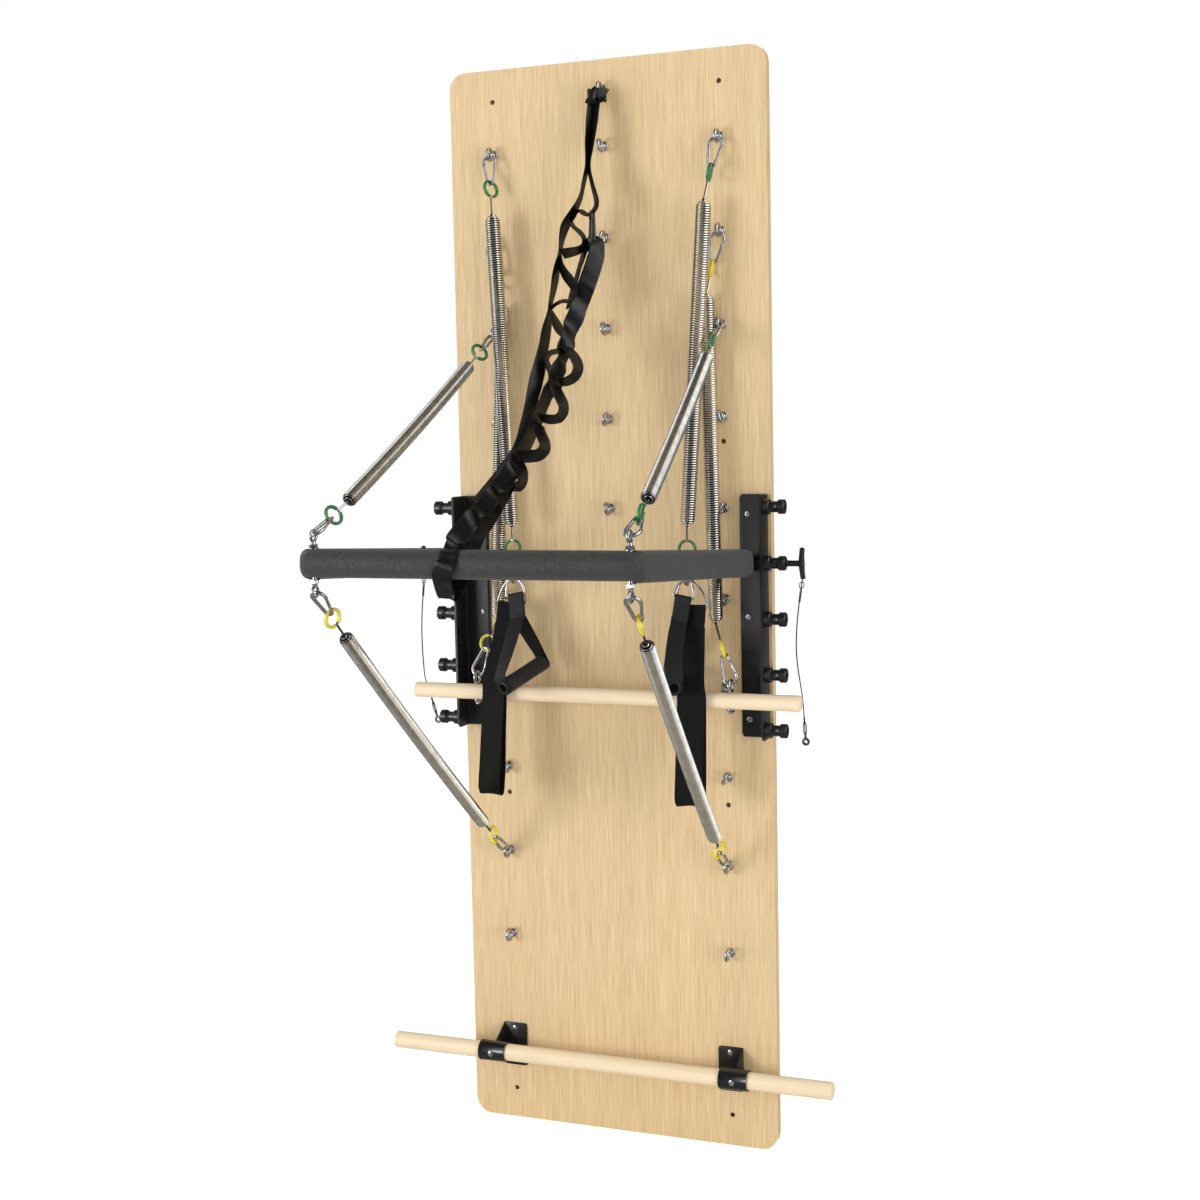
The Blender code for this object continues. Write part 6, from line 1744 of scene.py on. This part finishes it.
def hitch():
    """The girth hitch on the top eye: a band wrapped round in a flat ring, pinched in front and flared at
    both ends, two strands that rise through the eye, and a fold over the wrap."""
    eye = at(0, EYE_REACH, STRAP_EYE_Z)
    shells = []
    for sign in (-1, 1):
        points = eye + np.array([
            (0.0, 0.0120, -0.0100), (0.0, 0.0040, -0.0040), (0.0008 * sign, -0.0060, -0.0050),
            (0.0035 * sign, -0.0150, -0.0140), (0.0050 * sign, -0.0190, -0.0290),
        ])
        path = smooth(points, 0.002)
        widths = np.interp(np.linspace(0, 1, len(path)), [0, 0.4, 1], [0.008, 0.010, 0.018])
        shells.append(band(path, CROSSWISE, widths, STRAP_WEB, crown=0.0006))
    turn = np.linspace(0, 2 * math.pi, 48, endpoint=False)
    x = 0.0150 * np.cos(turn) * (1 + 0.10 * np.cos(2 * turn))
    y = -0.0130 - 0.0115 * np.sin(turn) + 0.0025 * np.cos(2 * turn) * (np.sin(turn) > 0)
    z = -0.0120 - 0.0030 * np.cos(turn) ** 2 + 0.0012 * np.sin(3 * turn)
    path = eye + np.stack([x, y, z], axis=1)
    widths = 0.0140 + 0.0110 * np.abs(np.cos(turn)) ** 1.6
    shells.append(band(path, (0.0, -0.10, 1.0), widths, 0.0018, ring=True, crown=0.0008))
    points = eye + np.array([
        (0.0060, -0.0268, -0.0035), (0.0020, -0.0285, -0.0075), (-0.0010, -0.0292, -0.0140),
        (-0.0035, -0.0272, -0.0230), (-0.0050, -0.0225, -0.0300),
    ])
    shells.append(band(smooth(points, 0.002), (0.95, 0.10, 0.30), 0.0130, 0.0017, crown=0.0010))
    return shells


# Stage, sidebar and start

# Azimuth, elevation and roll in degrees, place, focal length and sensor width in millimetres
CAMERA_TURN, CAMERA_PLACE = (21.75, 5.32, -1.16), (1.19414, -3.07588, 0.32388)
CAMERA_LENS, CAMERA_SENSOR = 53.19, 36.0
# Place, target, width and power of each lamp
KEY_LAMP = ((-3.2, -4.3, 0.1), (0, 0, 0.0), 2.0, 100.0)
FILL_LAMP = ((3.9, -2.7, -0.4), (0, 0, -0.3), 2.6, 96.0)
# Lit panels that only mirrors see: whether heights count half, aim, cosines at the edge and inside, power
MIRRORED_PANELS = (
    (True, (-0.74, -0.67, 0.0), 0.84, 0.96, 1.6),
    (True, (0.95, -0.30, 0.0), 0.81, 0.93, 1.6),
    (False, (0.75, 0.10, 0.65), 0.84, 0.96, 1.9),
    (False, (-0.80, 0.55, 0.25), 0.80, 0.95, 1.3),
)
MIRRORED_ROOM, PLAIN_LIGHT = 0.10, 0.68
FLOOR_Z, FLOOR_HALF, FLOOR_CELLS = -1.0005, 6, 12
FLOOR_ROUGHNESS, FLOOR_WHITE, FLOOR_MIRRORED, FLOOR_GLOW = 0.9, 0.9, 0.38, 0.55


class SPRINGBOARD_OT_stage(bpy.types.Operator):
    """The camera at the photograph's view, a soft key lamp from the left, a fill lamp from the right, a white
    surround with lit panels that only mirrors see, and a white floor that keeps the shadows"""

    bl_idname = "springboard.stage"
    bl_label = "Camera and light"

    def execute(self, context):
        scene = context.scene
        scene.view_settings.view_transform = "Standard"
        az, el, roll = (math.radians(turn) for turn in CAMERA_TURN)
        back = np.array([math.sin(az) * math.cos(el), -math.cos(az) * math.cos(el), math.sin(el)])
        right = np.array([math.cos(az), math.sin(az), 0.0])
        up = np.cross(back, right)
        c, s = math.cos(roll), math.sin(roll)
        pose = np.eye(4)
        pose[:3, 0], pose[:3, 1], pose[:3, 2] = c * right + s * up, c * up - s * right, back
        pose[:3, 3] = CAMERA_PLACE
        camera = bpy.data.objects.new("camera", bpy.data.cameras.new("camera"))
        camera.data.lens, camera.data.sensor_width = CAMERA_LENS, CAMERA_SENSOR
        camera.data.clip_end = 50.0
        camera.matrix_world = Matrix(pose.tolist())
        scene.collection.objects.link(camera)
        scene.camera = camera
        self.lamp(scene, "key", *KEY_LAMP)
        self.lamp(scene, "fill", *FILL_LAMP).visible_glossy = False
        self.surround(scene)
        self.floor(scene)
        return {"FINISHED"}

    def lamp(self, scene, name, place, target, size, power):
        data = bpy.data.lights.new(name, "AREA")
        data.shape, data.size, data.energy = "DISK", size, power
        obj = bpy.data.objects.new(name, data)
        away = unit(np.array(place, float) - np.array(target, float))
        side = unit(np.cross((0.0, 0.0, 1.0), away))
        pose = np.eye(4)
        pose[:3, 0], pose[:3, 1], pose[:3, 2], pose[:3, 3] = side, np.cross(away, side), away, place
        obj.matrix_world = Matrix(pose.tolist())
        scene.collection.objects.link(obj)
        return obj

    def seen(self, tree):
        """1 for rays from the camera or through glass, and 1 for rays from a mirror, as two values."""
        path = node(tree, "ShaderNodeLightPath")
        shown = math_node(tree, "MAXIMUM", path.outputs["Is Camera Ray"], path.outputs["Is Transmission Ray"])
        return shown, path.outputs["Is Glossy Ray"]

    def panel(self, tree, way, aim, edge, full, strength):
        """A soft lit panel in the mirrored studio: bright where the direction is near its aim."""
        near = node(tree, "ShaderNodeVectorMath", {0: way, 1: tuple(unit(aim))}, operation="DOT_PRODUCT")
        return ranged(tree, near.outputs["Value"], edge, full, 0.0, strength, interpolation_type="SMOOTHSTEP")

    def surround(self, scene):
        world = bpy.data.worlds.new("surround")
        world.use_nodes = True
        tree = world.node_tree
        shown, glossy = self.seen(tree)
        way = node(tree, "ShaderNodeTexCoord").outputs["Generated"]
        lowered = node(tree, "ShaderNodeVectorMath", {0: way, 1: (1.0, 1.0, 0.5)}, operation="MULTIPLY")
        level = node(tree, "ShaderNodeVectorMath", {0: lowered.outputs["Vector"]}, operation="NORMALIZE")
        ways = {True: level.outputs["Vector"], False: way}
        room, *others = (self.panel(tree, ways[halved], *shape) for halved, *shape in MIRRORED_PANELS)
        for light in (*others, MIRRORED_ROOM):
            room = math_node(tree, "ADD", room, light)
        mirrored = math_node(tree, "MULTIPLY", room, glossy)
        plain = ranged(tree, math_node(tree, "MAXIMUM", shown, glossy), 0.0, 1.0, PLAIN_LIGHT, 0.0)
        total = math_node(tree, "ADD", math_node(tree, "ADD", mirrored, plain), shown)
        sky = tree.nodes["Background"]
        sky.inputs["Color"].default_value = (1, 1, 1, 1)
        tree.links.new(total, sky.inputs["Strength"])
        scene.world = world

    def floor(self, scene):
        white = bpy.data.materials.new("floor white")
        white.use_nodes = True
        tree = white.node_tree
        shader = tree.nodes["Principled BSDF"]
        shader.inputs["Roughness"].default_value = FLOOR_ROUGHNESS
        shown, glossy = self.seen(tree)
        pale = ranged(tree, glossy, 0.0, 1.0, FLOOR_WHITE, FLOOR_MIRRORED)
        tree.links.new(pale, shader.inputs["Base Color"])
        glow = math_node(tree, "MULTIPLY", shown, FLOOR_GLOW)
        tree.links.new(glow, shader.inputs["Emission Strength"])
        shader.inputs["Emission Color"].default_value = (1, 1, 1, 1)
        rows = FLOOR_CELLS + 1
        grid = np.linspace(-FLOOR_HALF, FLOOR_HALF, rows)
        x, y = np.meshgrid(grid, grid, indexing="ij")
        co = np.stack([x, y, np.full_like(x, FLOOR_Z)], axis=2).reshape(-1, 3)
        k = (np.arange(FLOOR_CELLS)[:, None] * rows + np.arange(FLOOR_CELLS)[None]).reshape(-1)
        faces = np.stack([k, k + rows, k + rows + 1, k + 1], axis=1)
        mesh = bpy.data.meshes.new("floor")
        mesh.from_pydata(co.tolist(), [], faces.tolist())
        mesh.materials.append(white)
        obj = bpy.data.objects.new("floor", mesh)
        scene.collection.objects.link(obj)


def colour(name, description, value):
    return bpy.props.FloatVectorProperty(
        name=name, description=description, default=value, size=3, min=0.0, max=1.0, subtype="COLOR",
    )


def length(name, description, value, low):
    return bpy.props.FloatProperty(
        name=name, description=description, default=value, min=low, max=0.030, unit="LENGTH",
    )


class SpringboardSizes(bpy.types.PropertyGroup):
    pad_radius: length("Foam radius", "Half the height of the foam on the push bar's arms", PAD_RADIUS, 0.020)
    pad_side: length("Foam half width", "Half the width of the foam on the push bar's arms", PAD_SIDE, 0.017)
    pad_front: length("Foam radius in front", "Radius of the foam across the bar's front", PAD_FRONT, 0.020)


class SpringboardColours(bpy.types.PropertyGroup):
    board: colour("Board", "Light oak of the wall panel", (0.800, 0.615, 0.365))
    dowel: colour("Dowels", "Pale wood of the roll-down and foot bars", (0.900, 0.745, 0.525))
    plated: colour("Plated steel", "Screw eyes, snap hooks and rings", (0.56, 0.56, 0.57))
    coil: colour("Hanging springs", "Steel of the open springs", (0.80, 0.775, 0.71))
    rod: colour("Bar springs", "Steel of the close-wound springs", (0.60, 0.59, 0.55))
    bracket: colour("Brackets", "Black coat of the side brackets", (0.0110, 0.0110, 0.0108))
    bush: colour("Bushes", "Black of the spools and lock pins", (0.007, 0.007, 0.007))
    clamp: colour("Clamps", "Gloss black of the foot bar's sleeves", (0.008, 0.008, 0.008))
    green: colour("Green sleeve", "End loops of the lighter springs", (0.021, 0.165, 0.041))
    yellow: colour("Yellow sleeve", "End loops of the heavier springs", (0.700, 0.570, 0.050))
    foam: colour("Foam", "Sleeve on the push bar", (0.037, 0.037, 0.036))
    grip: colour("Grips", "Foam of the handles", (0.010, 0.010, 0.010))
    webbing: colour("Webbing", "Straps, loops and the safety strap", (0.0052, 0.0052, 0.0050))
    cable: colour("Cable", "The lock pins' lanyards", (0.03, 0.03, 0.032))


PIECES = (
    SPRINGBOARD_OT_lanyards, SPRINGBOARD_OT_board, SPRINGBOARD_OT_eyebolts, SPRINGBOARD_OT_carabiners,
    SPRINGBOARD_OT_bar_springs, SPRINGBOARD_OT_handle_springs, SPRINGBOARD_OT_roll_down_springs,
    SPRINGBOARD_OT_side_brackets, SPRINGBOARD_OT_lock_pins, SPRINGBOARD_OT_push_bar, SPRINGBOARD_OT_handles,
    SPRINGBOARD_OT_foot_loops, SPRINGBOARD_OT_roll_down_bar, SPRINGBOARD_OT_foot_bar,
    SPRINGBOARD_OT_safety_strap,
)


class SPRINGBOARD_PT_sidebar(bpy.types.Panel):
    bl_idname = "SPRINGBOARD_PT_sidebar"
    bl_label = "Springboard"
    bl_space_type = "VIEW_3D"
    bl_region_type = "UI"
    bl_category = "Springboard"

    def draw(self, context):
        layout = self.layout
        for group_name in ("springboard_sizes", "springboard_colours"):
            values = getattr(context.scene, group_name)
            for key in values.__annotations__:
                layout.prop(values, key)
        for operator in (SPRINGBOARD_OT_stage, *PIECES):
            layout.operator(operator.bl_idname)


CLASSES = (SpringboardSizes, SpringboardColours, SPRINGBOARD_OT_stage, *PIECES, SPRINGBOARD_PT_sidebar)


def register():
    for each in CLASSES:
        bpy.utils.register_class(each)
    bpy.types.Scene.springboard_sizes = bpy.props.PointerProperty(type=SpringboardSizes)
    bpy.types.Scene.springboard_colours = bpy.props.PointerProperty(type=SpringboardColours)


def unregister():
    del bpy.types.Scene.springboard_colours
    del bpy.types.Scene.springboard_sizes
    for each in reversed(CLASSES):
        bpy.utils.unregister_class(each)


def main():
    register()
    bpy.ops.springboard.stage()
    for operator in PIECES:
        getattr(bpy.ops.springboard, operator.bl_idname.split(".")[1])()


if __name__ == "__main__":
    main()
